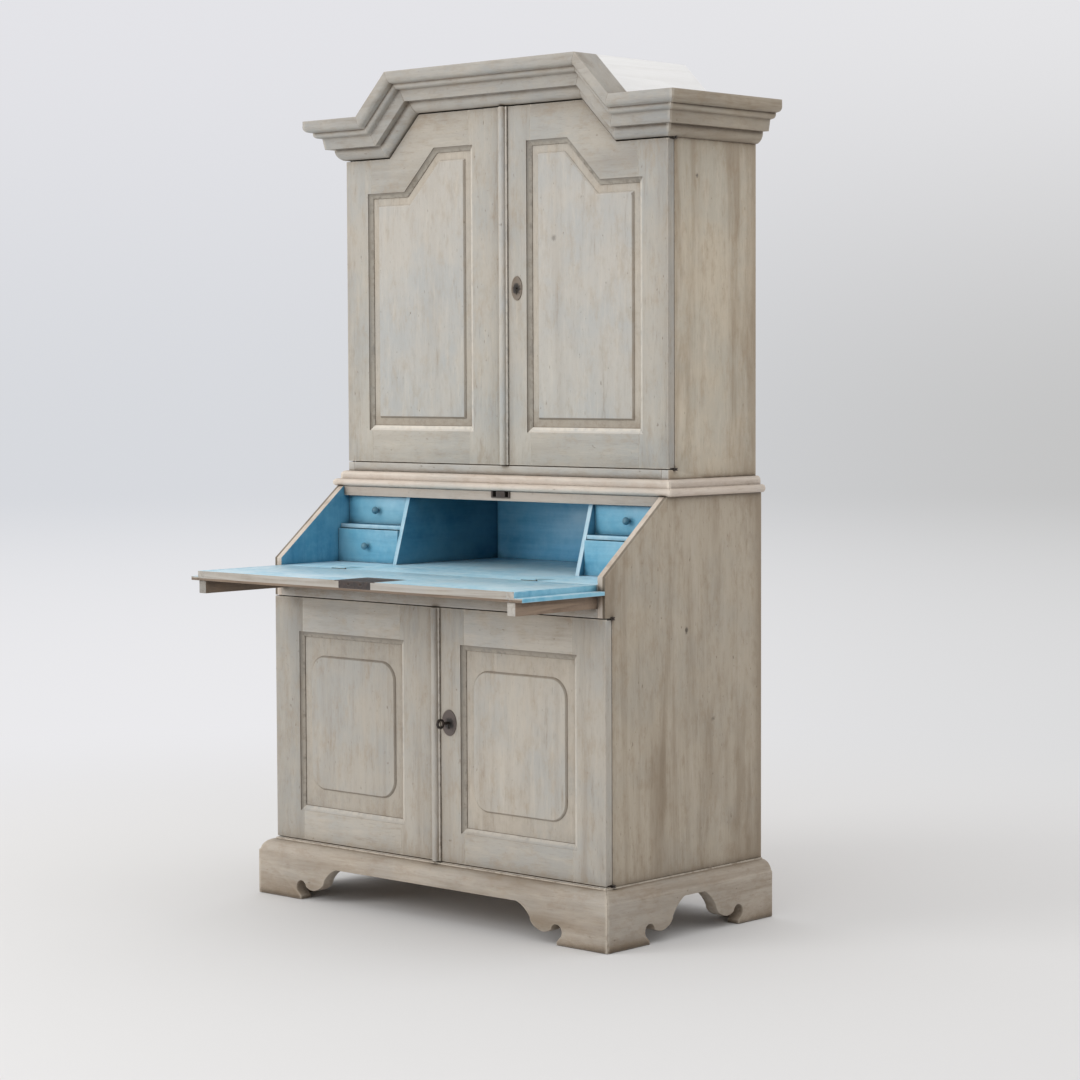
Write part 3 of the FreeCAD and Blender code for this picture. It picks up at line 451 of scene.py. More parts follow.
def greyPaintFinish(name, spec, axis):
    work = greyWork
    finish, tree, shader = startFinish(name + "XYZ"[axis])
    marks = boardMarks(tree)
    place, fixed, washing = marks["place"], marks["fixed"], marks["washing"]
    broad = cloudy(tree, fixed, *work["broad"])
    blot = cloudy(tree, place, *work["blot"])
    grains = {key: grained(tree, place, axis, *noise) for key, noise in work["grains"].items()}
    brush, mottle = grains["brush"], grains["mottle"]
    # thin coats: pale over cool over warm, rubbed through along the grain
    colour = layered(tree, ranged(tree, broad, 0.38, 0.64), spec["pale"], spec["cool"])
    for key, start, full, depth, over in work["coats"]:
        amount = ranged(tree, grains[key], start, full, 0.0, depth)
        if key == "wash":
            amount = calc(tree, "MULTIPLY", amount, washing)
        colour = layered(tree, amount, colour, spec[over])
    if "stains" in spec:
        stain = grained(tree, place, axis, *work["stain"])
        colour = layered(tree, ranged(tree, stain, 0.50, 0.70, 0.0, spec["stains"]), colour, spec["wash"])
    # brown along some edges, and single knots
    apart = splitAxes(tree, fixed)
    wobble = work["brownWobble"]
    for side, at in spec.get("browned", ()):
        away = calc(tree, "ABSOLUTE", calc(tree, "SUBTRACT", apart[side], at))
        away = calc(tree, "ADD", away, ranged(tree, mottle, 0.3, 0.7, -wobble, wobble))
        brown = ranged(tree, away, *work["brownReach"], work["brownDepth"], 0.0)
        colour = layered(tree, brown, colour, spec["wash"])
    for spot, depth in spec.get("knots", ()):
        knot = roundMark(tree, fixed, spot, blot, *work["knotReach"], depth)
        colour = layered(tree, knot, colour, spec["shadeAndGrime"])
    # painted shade with brown dirt round the mouldings, darker towards the bottom, and painted shade with black
    # grime in the corners
    near = ranged(tree, crevice(tree, spec["tintReach"]), 0.50, 0.97, work["tintDepth"], 0.0)
    near = patchy(tree, near, mottle, 0.30, 0.66, 0.55, 1.0)
    near = patchy(tree, near, washing, 0.1, 0.6, 0.75, 1.15)
    colour = layered(tree, near, colour, spec["tint"])
    foot = ranged(tree, apart["Z"], 0.0, work["footHeight"], work["footDepth"], 0.0)
    colour = layered(tree, patchy(tree, foot, mottle, 0.34, 0.62, 0.35, 1.0), colour, spec["tint"])
    shadeAndDirt = ranged(tree, crevice(tree, work["shadeAndDirtReach"]), 0.30, 0.90, 1.0, 0.0)
    colour = layered(tree, patchy(tree, shadeAndDirt, blot, 0.30, 0.60, 0.55, 0.95), colour, spec["shadeAndGrime"])
    edge = ranged(tree, crevice(tree, work["wearReach"], True), 0.35, 0.88, 1.0, 0.0)
    colour = layered(tree, patchy(tree, edge, blot, 0.34, 0.56, 0.0, 0.85), colour, spec["bare"])
    colour = layered(tree, 1.0, colour, marks["tone"], "MULTIPLY")
    rough = ranged(tree, brush, 0.3, 0.7, 0.74, 0.56)
    relief = summed(tree, grains["fine"], 0.6, brush, 0.8)
    surfaced(tree, shader, colour, rough, relief, work["relief"], work["reliefStrength"])
    link(tree, work["shine"], shader.inputs["Specular IOR Level"])
    return finish


bluePaint = {
    "deep": (0.075, 0.275, 0.420),
    "mid": (0.125, 0.385, 0.545),
    "chalk": (0.235, 0.490, 0.620),
    "worn": (0.450, 0.580, 0.640),
    "shadeAndGrime": (0.006, 0.060, 0.110),
    "shadeAndGrimeDepth": 0.75,
    "wearReach": 0.005,
}
# painted shade: a deeper copy of the blue for the walls and partitions of the writing space
shadedWallPaint = {
    "deep": (0.030, 0.188, 0.350),
    "mid": (0.064, 0.284, 0.462),
    "chalk": (0.145, 0.394, 0.568),
    "worn": (0.420, 0.550, 0.620),
    "shadeAndGrime": (0.002, 0.045, 0.095),
    "shadeAndGrimeDepth": 0.75,
    "wearReach": 0.005,
}
# painted light: a brighter, bluer copy of the blue for the back of the writing space
litBackPaint = {
    "deep": (0.102, 0.372, 0.610),
    "mid": (0.165, 0.486, 0.730),
    "chalk": (0.270, 0.568, 0.770),
    "worn": (0.450, 0.620, 0.690),
    "shadeAndGrime": (0.020, 0.130, 0.210),
    "shadeAndGrimeDepth": 0.60,
    "wearReach": 0.005,
}
# a paler copy of the blue for the writing surfaces and partition front edges: chalky, worn paint with a painted
# sheen on the flat tops
chalkAndSheenPaint = {
    "deep": (0.195, 0.418, 0.552),
    "mid": (0.300, 0.524, 0.645),
    "chalk": (0.500, 0.645, 0.718),
    "worn": (0.625, 0.700, 0.730),
    "shadeAndGrime": (0.040, 0.130, 0.190),
    "shadeAndGrimeDepth": 0.40,
    "wearReach": 0.005,
}
leafPaint = {
    "deep": (0.165, 0.395, 0.520),
    "mid": (0.245, 0.490, 0.610),
    "chalk": (0.405, 0.600, 0.680),
    "worn": (0.150, 0.250, 0.300),
    "shadeAndGrime": (0.040, 0.130, 0.190),
    "shadeAndGrimeDepth": 0.60,
    "wearReach": 0.0003,
}
# what the blue paints share
blueWork = {
    "streak": (36, 2.4, 6, 0.66),
    "fine": (260, 12, 3, 0.55),
    "broad": (6.5, 5, 0.6),
    "blot": (48, 5, 0.66),
    "shadeAndDirtReach": 0.022,
    "shine": 0.5,
    "relief": 0.0010,
    "reliefStrength": 0.45,
}


def bluePaintFinish(name, spec, axis):
    work = blueWork
    finish, tree, shader = startFinish(name + "XYZ"[axis])
    marks = boardMarks(tree)
    place = marks["place"]
    streak = grained(tree, place, axis, *work["streak"])
    fine = grained(tree, place, axis, *work["fine"])
    broad = cloudy(tree, place, *work["broad"])
    blot = cloudy(tree, place, *work["blot"])
    colour = layered(tree, ranged(tree, streak, 0.30, 0.64), spec["deep"], spec["mid"])
    colour = layered(tree, ranged(tree, broad, 0.40, 0.70, 0.0, 0.75), colour, spec["chalk"])
    chalking = calc(tree, "MULTIPLY", ranged(tree, blot, 0.35, 0.75), marks["washing"])
    colour = layered(tree, chalking, colour, spec["chalk"])
    colour = layered(tree, ranged(tree, fine, 0.56, 0.80, 0.0, 0.30), colour, spec["deep"])
    # painted shade and grime in the corners
    shadeAndDirt = ranged(tree, crevice(tree, work["shadeAndDirtReach"]), 0.20, 0.75, spec["shadeAndGrimeDepth"], 0.0)
    colour = layered(tree, shadeAndDirt, colour, spec["shadeAndGrime"])
    edge = ranged(tree, crevice(tree, spec["wearReach"], True), 0.35, 0.85, 1.0, 0.0)
    colour = layered(tree, patchy(tree, edge, blot, 0.36, 0.58, 0.25, 0.95), colour, spec["worn"])
    colour = layered(tree, 1.0, colour, marks["tone"], "MULTIPLY")
    rough = ranged(tree, broad, 0.3, 0.7, 0.46, 0.30)
    relief = summed(tree, fine, 0.5, streak, 0.5)
    surfaced(tree, shader, colour, rough, relief, work["relief"], work["reliefStrength"])
    link(tree, work["shine"], shader.inputs["Specular IOR Level"])
    return finish


bareWood = {
    "light": (0.362, 0.262, 0.172),
    "dark": (0.225, 0.152, 0.096),
    "grey": (0.285, 0.240, 0.192),
    "shadeAndGrime": (0.060, 0.042, 0.030),
}
paleWood = {
    "light": (0.420, 0.395, 0.358),
    "dark": (0.250, 0.212, 0.172),
    "grey": (0.380, 0.375, 0.362),
    "shadeAndGrime": (0.080, 0.062, 0.047),
}
limedWood = {
    "light": (0.885, 0.885, 0.890),
    "dark": (0.785, 0.780, 0.776),
    "grey": (0.850, 0.852, 0.860),
    "shadeAndGrime": (0.450, 0.425, 0.395),
}
# the lopers' dark wood, darkened further as painted shade from the fall above them
loperWood = {
    "light": (0.175, 0.130, 0.095),
    "dark": (0.075, 0.052, 0.038),
    "grey": (0.140, 0.115, 0.095),
    "shadeAndGrime": (0.025, 0.018, 0.014),
}
# what the woods share
woodWork = {
    "figure": (7.5, 0.45, 3, 0.45, 0.25),
    "rings": 22,
    "fine": (320, 8, 5, 0.65),
    "broad": (4.0, 5, 0.6),
    "blot": (30, 5, 0.65),
    "shadeAndDirtReach": 0.035,
    "shadeAndDirtDepth": 0.8,
    "shine": 0.3,
    "relief": 0.0012,
    "reliefStrength": 0.5,
}


def woodFinish(name, spec, axis):
    work = woodWork
    finish, tree, shader = startFinish(name + "XYZ"[axis])
    marks = boardMarks(tree)
    place = marks["place"]
    figure = grained(tree, place, axis, *work["figure"])
    fine = grained(tree, place, axis, *work["fine"])
    broad = cloudy(tree, place, *work["broad"])
    blot = cloudy(tree, place, *work["blot"])
    # year rings: slow into the dark, quick out of it
    rings = calc(tree, "FRACT", calc(tree, "MULTIPLY", figure, work["rings"]))
    ringEdge = patchy(tree, ranged(tree, rings, 0.10, 0.85), rings, 0.85, 1.0, 1.0, 0.0)
    colour = layered(tree, patchy(tree, ringEdge, blot, 0.30, 0.70, 0.25, 0.60), spec["light"], spec["dark"])
    colour = layered(tree, ranged(tree, fine, 0.48, 0.74, 0.0, 0.60), colour, spec["dark"])
    colour = layered(tree, ranged(tree, broad, 0.40, 0.70, 0.0, 0.70), colour, spec["grey"])
    # painted shade and grime in the corners
    shadeAndDirt = ranged(tree, crevice(tree, work["shadeAndDirtReach"]), 0.25, 0.85, work["shadeAndDirtDepth"], 0.0)
    colour = layered(tree, patchy(tree, shadeAndDirt, blot, 0.3, 0.6, 0.5, 1.0), colour, spec["shadeAndGrime"])
    colour = layered(tree, 1.0, colour, marks["tone"], "MULTIPLY")
    rough = ranged(tree, fine, 0.3, 0.7, 0.62, 0.80)
    relief = calc(tree, "SUBTRACT", calc(tree, "MULTIPLY", fine, 0.7), calc(tree, "MULTIPLY", ringEdge, 0.25))
    surfaced(tree, shader, colour, rough, relief, work["relief"], work["reliefStrength"])
    link(tree, work["shine"], shader.inputs["Specular IOR Level"])
    return finish


darkIron = {
    "black": (0.018, 0.015, 0.014),
    "brown": (0.062, 0.039, 0.029),
    "bright": (0.095, 0.078, 0.068),
    "rough": (0.45, 0.75),
}
plateIron = {
    "black": (0.030, 0.025, 0.024),
    "brown": (0.072, 0.054, 0.048),
    "bright": (0.130, 0.111, 0.104),
    "rough": (0.45, 0.70),
}
lowerPlateIron = {
    "black": (0.030, 0.023, 0.022),
    "brown": (0.075, 0.053, 0.049),
    "bright": (0.140, 0.115, 0.105),
    "rough": (0.45, 0.70),
    "eye": (0.055, -0.140, 0.449),
}
upperPlateIron = {
    "black": (0.070, 0.055, 0.045),
    "brown": (0.150, 0.112, 0.083),
    "bright": (0.24, 0.20, 0.16),
    "rough": (0.50, 0.75),
    "eye": (0.055, 0.088, 1.423),
}
# what the irons share
ironWork = {
    "rust": (120, 6, 0.65),
    "hammer": (420, 3, 0.55),
    "broad": (35, 3, 0.5),
    "wearReach": 0.0025,
    "eyeReach": (0.008, 0.017),
    "eyeDepth": 0.95,
    "metal": 0.4,
    "relief": 0.0006,
    "reliefStrength": 0.5,
}


def ironFinish(name, spec):
    work = ironWork
    finish, tree, shader = startFinish(name)
    place = tree.nodes.new("ShaderNodeTexCoord").outputs["Object"]
    rust = cloudy(tree, place, *work["rust"])
    hammer = cloudy(tree, place, *work["hammer"])
    broad = cloudy(tree, place, *work["broad"])
    colour = layered(tree, ranged(tree, rust, 0.42, 0.66), spec["black"], spec["brown"])
    edge = ranged(tree, crevice(tree, work["wearReach"], True), 0.30, 0.85, 0.75, 0.0)
    colour = layered(tree, edge, colour, spec["bright"])
    colour = layered(tree, ranged(tree, broad, 0.55, 0.75, 0.0, 0.4), colour, spec["brown"])
    if "eye" in spec:
        # painted shade: a black ring that widens the keyhole's dark opening
        eye = roundMark(tree, place, spec["eye"], rust, *work["eyeReach"], work["eyeDepth"])
        colour = layered(tree, eye, colour, darkIron["black"])
    rough = ranged(tree, rust, 0.3, 0.7, *spec["rough"])
    relief = calc(tree, "ADD", hammer, rust)
    surfaced(tree, shader, colour, rough, relief, work["relief"], work["reliefStrength"])
    link(tree, work["metal"], shader.inputs["Metallic"])
    return finish


finishes = {}
paints = {
    "grey": greyPaint,
    "litMoulding": litMouldingPaint,
    "frame": framePaint,
    "shadedMoulding": shadedMouldingPaint,
    "side": sidePaint,
    "upperSide": upperSidePaint,
    "cornice": cornicePaint,
    "plinth": plinthPaint,
    "cream": creamPaint,
}
blues = {"blue": bluePaint, "shadedWall": shadedWallPaint, "back": litBackPaint, "bed": chalkAndSheenPaint, "leaf": leafPaint}
woods = {"bare": bareWood, "pale": paleWood, "limed": limedWood, "loper": loperWood}
irons = {
    "blackIron": darkIron,
    "lockIron": plateIron,
    "lowerPlate": lowerPlateIron,
    "upperPlate": upperPlateIron,
}


def finishFor(kind, axis=0):
    if (kind, axis) not in finishes:
        if kind in paints:
            finish = greyPaintFinish(kind + "Paint", paints[kind], axis)
        elif kind in blues:
            finish = bluePaintFinish(kind + "Blue", blues[kind], axis)
        elif kind in woods:
            finish = woodFinish(kind + "Wood", woods[kind], axis)
        else:
            finish = ironFinish(kind, irons[kind])
        finishes[kind, axis] = finish
    return finishes[kind, axis]


print("finishes ready")

# lengths in metres, angles in radians
meshing = {
    "decimals": 5,
    "weld": 0.00002,
    "flatAngle": 0.01,
    "sharpAngle": 0.5,
    "round": 0.0010,  # for pieces that name none
    "tiny": 0.00001,
    "shadeAngle": 0.6,
    "toneSpread": (0.97, 1.03),  # between the boards of a piece
    "seedSpread": (0, 9),
    "wash": 0.3,  # for pieces that name none
}
alongX, alongY, alongZ = range(3)


# a node's members one by one: a member ends where its shell closes
def membersOf(node):
    source = frame["nodes"][node].data
    spots = [tuple(round(c, meshing["decimals"]) for c in vertex.co) for vertex in source.vertices]
    unpaired, runs, first = {}, [], 0
    for face in source.polygons:
        ring = [spots[i] for i in face.vertices]
        for start, end in zip(ring, ring[1:] + ring[:1]):
            if start == end:
                continue
            if unpaired.get((end, start)):
                unpaired[end, start] -= 1
                if not unpaired[end, start]:
                    del unpaired[end, start]
            else:
                unpaired[start, end] = unpaired.get((start, end), 0) + 1
        if not unpaired:
            runs.append((first, face.index + 1))
            first = face.index + 1
    members = []
    for low, high in runs:
        bm = bmesh.new()
        bm.from_mesh(source)
        others = [face for face in bm.faces if not low <= face.index < high]
        bmesh.ops.delete(bm, geom=others, context="FACES")
        bmesh.ops.remove_doubles(bm, verts=bm.verts, dist=meshing["weld"])
        bmesh.ops.dissolve_limit(bm, angle_limit=meshing["flatAngle"], verts=bm.verts, edges=bm.edges)
        members.append(bm)
    return members


def softenEdges(bm, width):
    sharp = [edge for edge in bm.edges
             if len(edge.link_faces) == 2 and edge.calc_face_angle() > meshing["sharpAngle"]]
    bmesh.ops.bevel(bm, geom=sharp, offset=width, offset_type="OFFSET", segments=2, profile=0.5,
                    affect="EDGES", clamp_overlap=True, material=-1)
    bmesh.ops.remove_doubles(bm, verts=bm.verts, dist=meshing["tiny"])
    bmesh.ops.dissolve_degenerate(bm, dist=meshing["tiny"], edges=bm.edges)


def boxOf(bm):
    low = Vector(tuple(min(v.co[i] for v in bm.verts) for i in range(3)))
    high = Vector(tuple(max(v.co[i] for v in bm.verts) for i in range(3)))
    return low, high


def makeBoards(spec):
    chance = random.Random(spec["name"])
    node = spec["node"]
    whole = bmesh.new()
    used = []
    for member in membersOf(node):
        softenEdges(member, spec.get("round", meshing["round"]))
        for where, facing in spec.get("cuts", []):
            everything = member.verts[:] + member.edges[:] + member.faces[:]
            bmesh.ops.bisect_plane(member, geom=everything, plane_co=where, plane_no=facing)
        low, high = boxOf(member)
        size = high - low
        axis = spec.get("grain", max(range(3), key=lambda i: size[i]))
        mark = member.faces.layers.float_vector.new("board")
        seed = chance.uniform(*meshing["seedSpread"])
        tone = spec.get("tone", 1.0) * chance.uniform(*meshing["toneSpread"])
        for face in member.faces:
            kind, lift = spec["finish"], 1.0
            if callable(kind):
                kind, lift = kind(face.calc_center_median(), face.normal, low, high)
            if (kind, axis) not in used:
                used.append((kind, axis))
            face.material_index = used.index((kind, axis))
            face[mark] = Vector((tone * lift, spec.get("wash", meshing["wash"]), seed))
            face.smooth = True
        part = bpy.data.meshes.new("member")
        member.to_mesh(part)
        member.free()
        whole.from_mesh(part)
        bpy.data.meshes.remove(part)
    mesh = bpy.data.meshes.new(spec["name"])
    whole.to_mesh(mesh)
    whole.free()
    mesh.set_sharp_from_angle(angle=meshing["shadeAngle"])
    for kind, axis in used:
        mesh.materials.append(finishFor(kind, axis))
    piece = addObject(spec["name"], mesh)
    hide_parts(node)
    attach(piece, bodyOf[node])


# a rule gives a face its finish and how much lighter it is there;
# the normal leans to a side by so much before the face counts as facing it
fully, squarely, mostly, halfway, slanting, partly = 0.9, 0.7, 0.6, 0.5, 0.4, 0.3

# levels and edges that the finishes follow
writingLevel = 0.782
slopeFoot = 0.70
arris = 0.5125  # rubbed inner part of the slope's edge, each side of the middle
fallFoot = 0.7655  # top of the fall's dark lower edge
upperFoot = 0.9  # anything that starts higher is on the upper case


# sides of the case: stained paint outside, a deeper blue on the writing space as painted shade, bare in the
# cupboards
def sideRule(inward):
    def rule(centre, normal, low, high):
        if normal.x * inward > squarely:
            return ("shadedWall", 0.83) if centre.z > writingLevel else ("bare", 0.9)
        # the slope's edge: rubbed pale inside, and darkened outside as painted shade
        if normal.y < -slanting and centre.z > slopeFoot:
            return ("side", 0.50) if abs(centre.x) > arris else ("cream", 1.12)
        return ("side", 0.88) if abs(normal.x) > squarely else ("grey", 1.0)
    return rule


def upperSideRule(outward):
    def rule(centre, normal, low, high):
        if normal.x * outward < -squarely:
            return "bare", 0.9
        return ("upperSide", 1.13) if abs(normal.x) > squarely else ("grey", 1.0)
    return rule


levelCut = ((0, 0, writingLevel), (0, 0, 1))
caseSide = {"slot": "painted_wood", "grain": alongZ}
for side in (
    {**caseSide, "name": "leftSide", "node": "base_left_side", "finish": sideRule(1), "wash": 0.55,
     "cuts": [levelCut, ((-arris, 0, 0), (1, 0, 0))]},
    {**caseSide, "name": "rightSide", "node": "base_right_side", "finish": sideRule(-1), "wash": 0.55,
     "cuts": [levelCut, ((arris, 0, 0), (1, 0, 0))]},
    {**caseSide, "name": "upperLeftSide", "node": "upper_left_side", "finish": upperSideRule(-1), "wash": 0.5},
    {**caseSide, "name": "upperRightSide", "node": "upper_right_side", "finish": upperSideRule(1), "wash": 0.5},
):
    makeBoards(side)
print("sides done")

# doors: grey outside, bare wood behind; in the mouldings and on the sunk margins a darker, browner copy as
# painted shade, with a painted highlight on moulding faces turned up or to the left
doorMarks = {
    "back": 0.004,  # skin of the back
    "chamfer": 0.0015,  # depths behind the front
    "quirk": 0.0025,
    "margin": 0.0045,
    "lowerTopRail": (0.6, 0.7),  # where the lower doors' top rails start
    "lowerLeftStile": -0.40,
    "lowerDoorTop": 0.75,
}


def doorRule(centre, normal, low, high):
    if normal.y > squarely and centre.y > high.y - doorMarks["back"]:
        return "bare", 0.95
    chamfer = normal.y < -partly and centre.y > low.y + doorMarks["chamfer"]
    quirk = abs(normal.y) < partly and centre.y < low.y + doorMarks["quirk"]
    # painted light: moulding faces turned up or to the left take the painted highlight, the rest the painted
    # shade
    if chamfer or quirk:
        upper = low.z > upperFoot
        if normal.z > partly:
            return "litMoulding", 1.38 if upper else 1.0
        if normal.x < -partly:
            return "litMoulding", 1.20 if upper else 1.12
        return "shadedMoulding", 0.68 if chamfer else 0.60
    # painted light: the lower doors' top rails are lightened where the fall shades them
    railLow, railHigh = doorMarks["lowerTopRail"]
    if railLow < low.z < railHigh:
        return "frame", 1.12
    leftStile = high.x < doorMarks["lowerLeftStile"] and high.z < doorMarks["lowerDoorTop"]
    return "frame", 0.88 if leftStile else 1.0


def panelRule(centre, normal, low, high):
    upper = low.z > upperFoot
    if normal.y > squarely:
        return "bare", 0.95
    if centre.y > low.y + doorMarks["margin"]:
        return "shadedMoulding", 0.99
    if normal.y < -fully:
        return "grey" if upper else "frame", 1.0
    # painted light: bevels turned up take the painted highlight, the others the painted shade
    if upper and normal.z > partly:
        return "litMoulding", 1.18
    return ("grey", 1.0) if upper and normal.x < -partly else ("shadedMoulding", 0.85)


doorFrame = {"slot": "painted_wood", "finish": doorRule, "round": 0.00045}
doorPanel = {"slot": "painted_wood", "finish": panelRule, "grain": alongZ}
coverBar = {"slot": "painted_wood", "finish": "grey", "grain": alongZ, "round": 0.0006}
for door in (
    {**doorFrame, "name": "upperLeftFrame", "node": "upper_left_frame", "wash": 0.30, "tone": 0.95},
    {**doorFrame, "name": "upperRightFrame", "node": "upper_right_frame", "wash": 0.30, "tone": 0.95},
    {**doorPanel, "name": "upperLeftPanel", "node": "upper_left_panel", "wash": 0.20, "tone": 1.03},
    {**doorPanel, "name": "upperRightPanel", "node": "upper_right_panel", "wash": 0.20, "tone": 1.03},
    {**coverBar, "name": "upperCoverBar", "node": "upper_astragal", "wash": 0.15, "tone": 1.10},
    {**doorFrame, "name": "lowerLeftFrame", "node": "base_left_frame", "wash": 0.35, "tone": 0.93},
    {**doorFrame, "name": "lowerRightFrame", "node": "base_right_frame", "wash": 0.35, "tone": 0.94},
    {**doorPanel, "name": "lowerLeftPanel", "node": "base_left_panel", "wash": 0.30, "tone": 0.93},
    {**doorPanel, "name": "lowerRightPanel", "node": "base_right_panel", "wash": 0.30, "tone": 1.02},
    {**coverBar, "name": "lowerCoverBar", "node": "base_astragal", "wash": 0.45, "tone": 0.92},
):
    makeBoards(door)
print("doors done")

# mouldings, and the boards between them
moulding = {"slot": "painted_wood", "finish": "grey", "grain": alongX}
for run in (
    {**moulding, "name": "frontCornice", "node": "front_cornice", "wash": 0.55, "tone": 0.88, "round": 0.0008},
    {**moulding, "name": "sideCornices", "node": "side_cornices", "finish": "cornice", "grain": alongY,
     "wash": 0.90, "tone": 0.86, "round": 0.0008},
    {**moulding, "name": "friezeBoard", "node": "frieze_board", "finish": doorRule, "wash": 0.40, "tone": 0.95},
    {"slot": "painted_wood", "name": "waistMoulding", "node": "waist_moulding", "finish": "cream",
     "wash": 0.25, "tone": 1.10, "round": 0.0008},
    {**moulding, "name": "loperRail", "node": "loper_rail", "wash": 0.50, "tone": 0.92},
    {**moulding, "name": "plinthFront", "node": "plinth_front", "finish": "plinth",
     "wash": 0.50, "tone": 0.90, "round": 0.0012},
    {**moulding, "name": "plinthSides", "node": "plinth_sides", "finish": "plinth", "grain": alongY,
     "wash": 0.60, "tone": 0.84, "round": 0.0012},
):
    makeBoards(run)
print("mouldings done")

# writing space: blue paint, chalky where hands have rubbed it; painted shade in a deeper blue on the walls,
# painted light in a brighter blue on the back, and a painted sheen on the flat tops
deskMarks = {
    "pocketSpan": 0.10,  # the strike's pockets, each side of the middle
    "pocketDepth": 0.003,
    "drawerFront": 0.0123,
    "upperDrawer": 0.0955,  # how far back the drawer fronts reach
    "lowerDrawer": 0.0585,
}


def railRule(centre, normal, low, high):
    forward = normal.y < -mostly
    sunk = abs(normal.x) > squarely or normal.z > squarely
    sunk = sunk or (forward and centre.y > low.y + deskMarks["pocketDepth"])
    # the strike's pockets are painted dark wood as painted shade
    if sunk and abs(centre.x) < deskMarks["pocketSpan"]:
        return "loper", 0.4
    return ("cream", 0.82) if forward else ("blue", 0.9)


def bedRule(centre, normal, low, high):
    return ("grey", 0.75) if normal.y < -mostly else ("bed", 1.0)


def dividerRule(centre, normal, low, high):
    # front edges in the paler blue; the partition sides darkened further as painted shade
    return ("bed", 1.0) if normal.y < -mostly else ("shadedWall", 0.64)


def fallRule(centre, normal, low, high):
    if normal.z > squarely:
        return "bed", 1.15
    if normal.z < -squarely:
        return "grey", 0.85
    if abs(normal.y) > mostly:
        return ("loper", 1.3) if centre.z < fallFoot else ("pale", 1.0)
    return "blue", 1.10


def drawerRule(frontBack):
    def rule(centre, normal, low, high):
        if centre.y < frontBack - deskMarks["drawerFront"]:
            return "blue", 0.50  # the knob
        return ("blue", 1.0) if centre.y < frontBack else ("bare", 1.0)
    return rule


upperDrawer = {"slot": "blue_paint", "finish": drawerRule(deskMarks["upperDrawer"]), "wash": 0.45, "tone": 0.95,
               "round": 0.0007}
lowerDrawer = {**upperDrawer, "finish": drawerRule(deskMarks["lowerDrawer"])}
fallPiece = {"slot": "blue_paint", "finish": fallRule, "wash": 0.8, "cuts": [((0, 0, fallFoot), (0, 0, 1))]}
for piece in (
    {"slot": "painted_wood", "name": "fallRail", "node": "fall_rail", "finish": railRule, "grain": alongX,
     "wash": 0.4},
    # the writing bed and the back are lifted further as painted light against the shade of the recess
    {"slot": "blue_paint", "name": "writingBed", "node": "writing_bed", "finish": bedRule, "grain": alongX,
     "wash": 0.7, "tone": 1.27},
    {"slot": "blue_paint", "name": "partitions", "node": "partitions", "finish": dividerRule},
    {"slot": "blue_paint", "name": "drawerDividers", "node": "drawer_dividers", "finish": dividerRule},
    {"slot": "blue_paint", "name": "interiorBack", "node": "interior_back", "finish": "back",
     "wash": 0.35, "tone": 1.12},
    {**fallPiece, "name": "fallBoard", "node": "fall_board", "grain": alongX},
    {**fallPiece, "name": "fallClamps", "node": "fall_end_clamps", "grain": alongY},
    {**upperDrawer, "name": "upperLeftDrawer", "node": "upper_left_drawer"},
    {**upperDrawer, "name": "upperRightDrawer", "node": "upper_right_drawer"},
    {**lowerDrawer, "name": "lowerLeftDrawer", "node": "lower_left_drawer"},
    {**lowerDrawer, "name": "lowerRightDrawer", "node": "lower_right_drawer"},
):
    makeBoards(piece)
print("writing space done")


# bare wood inside and behind, painted only where an edge shows in front
def paintedEdgeRule(centre, normal, low, high):
    return ("grey", 0.97) if normal.y < -mostly else ("bare", 1.0)


def loperRule(centre, normal, low, high):
    return ("pale", 0.6) if normal.y < -mostly else ("loper", 1.0)


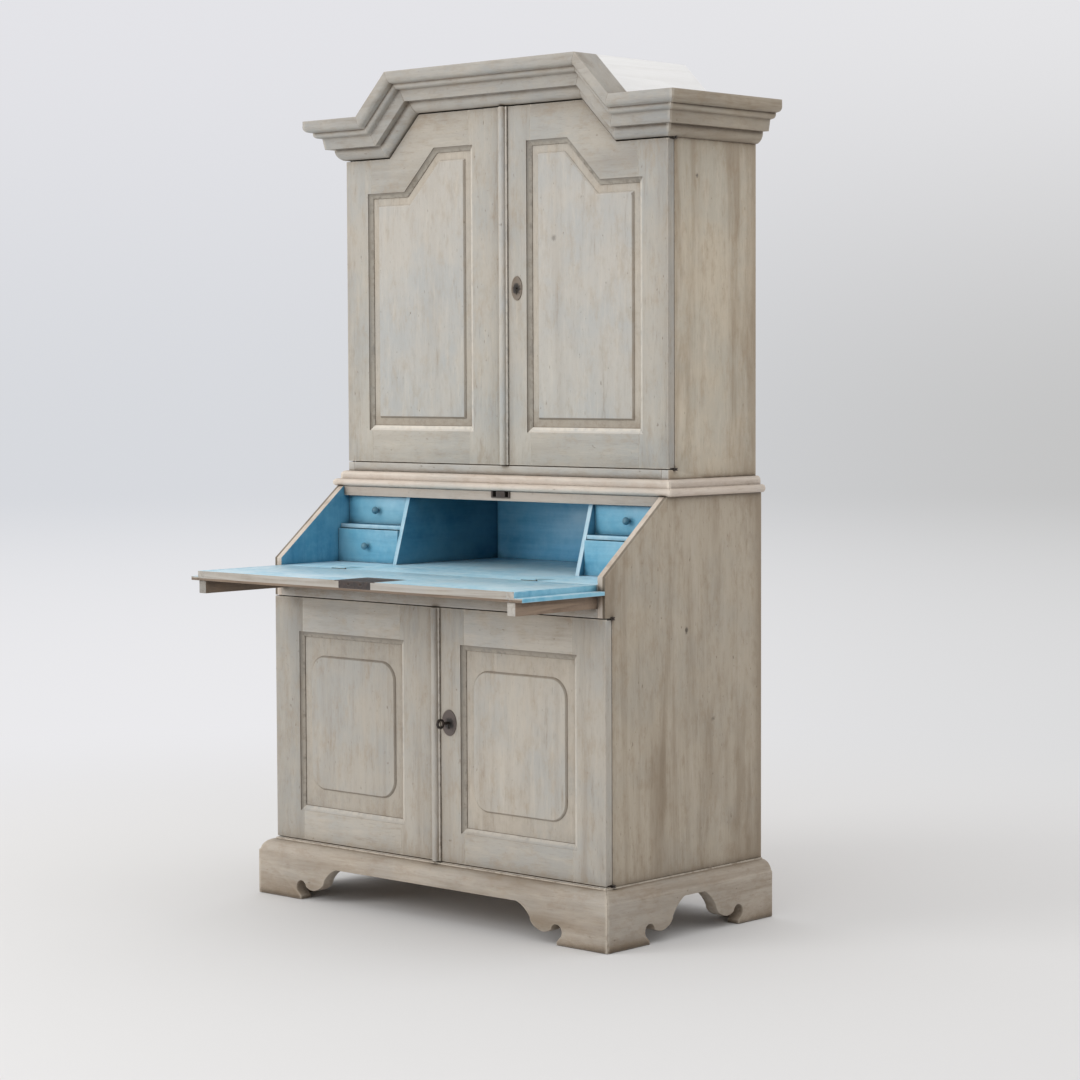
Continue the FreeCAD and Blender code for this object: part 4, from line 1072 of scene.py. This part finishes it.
bareBoard = {"slot": "raw_wood", "finish": "bare"}
for board in (
    {**bareBoard, "name": "lowerFloor", "node": "base_bottom", "finish": paintedEdgeRule, "wash": 0.5},
    {**bareBoard, "name": "upperFloor", "node": "upper_bottom", "finish": paintedEdgeRule, "wash": 0.5},
    {**bareBoard, "name": "lowerBackBoards", "node": "base_back_boards"},
    {**bareBoard, "name": "upperBackBoards", "node": "upper_back_boards", "grain": alongZ},
    {**bareBoard, "name": "deskTop", "node": "base_top"},
    {**bareBoard, "name": "dustBoard", "node": "dust_board"},
    {**bareBoard, "name": "loperGuides", "node": "loper_guides"},
    {**bareBoard, "name": "shelfBoards", "node": "shelves"},
    {**bareBoard, "name": "shelfCleats", "node": "shelf_cleats"},
    {**bareBoard, "name": "plinthBlocks", "node": "plinth_blocks", "tone": 0.8},
    {**bareBoard, "name": "leftLoper", "node": "left_loper", "finish": loperRule, "tone": 1.25},
    {**bareBoard, "name": "rightLoper", "node": "right_loper", "finish": loperRule, "tone": 1.85},
    {"slot": "roof_wood", "name": "roofBoards", "node": "roof_boards", "finish": "limed", "grain": alongY},
):
    makeBoards(board)
print("bare wood done")

# hinges: black pivots at the doors' corners, and fall hinges painted over with the writing surface
fallHingeFoot = (0.77, 0.79)


def hingeRule(centre, normal, low, high):
    atFall = fallHingeFoot[0] < low.z < fallHingeFoot[1]
    return ("leaf", 1.05) if atFall and normal.z > halfway else ("blackIron", 1.0)


hingeLeaf = {"slot": "iron", "finish": hingeRule, "grain": alongX, "wash": 0.8, "round": 0.0002}
for leaf in (
    {**hingeLeaf, "name": "hingeCaseLeaves", "node": "hinge_case_leaves"},
    {**hingeLeaf, "name": "fallHingeLeaves", "node": "fall_hinge_leaves"},
):
    makeBoards(leaf)

# the rest of the ironwork keeps its solids
ironwork = {
    "hinge_pins": "blackIron",
    "fall_strike": "blackIron",
    "fall_bolt": "blackIron",
    "upper_left_hinge_leaves": "blackIron",
    "upper_right_hinge_leaves": "blackIron",
    "base_left_hinge_leaves": "blackIron",
    "base_right_hinge_leaves": "blackIron",
    "upper_lock": "upperPlate",
    "upper_bolt": "blackIron",
    "base_lock": "lowerPlate",
    "base_bolt": "blackIron",
    "base_key": "blackIron",
    "fall_lock": "lockIron",
}
for node, kind in ironwork.items():
    piece = frame["nodes"][node]
    finish = finishFor(kind)
    if not piece.material_slots:
        piece.data.materials.append(finish)
    for holder in piece.material_slots:
        holder.material = finish
print("ironwork done")
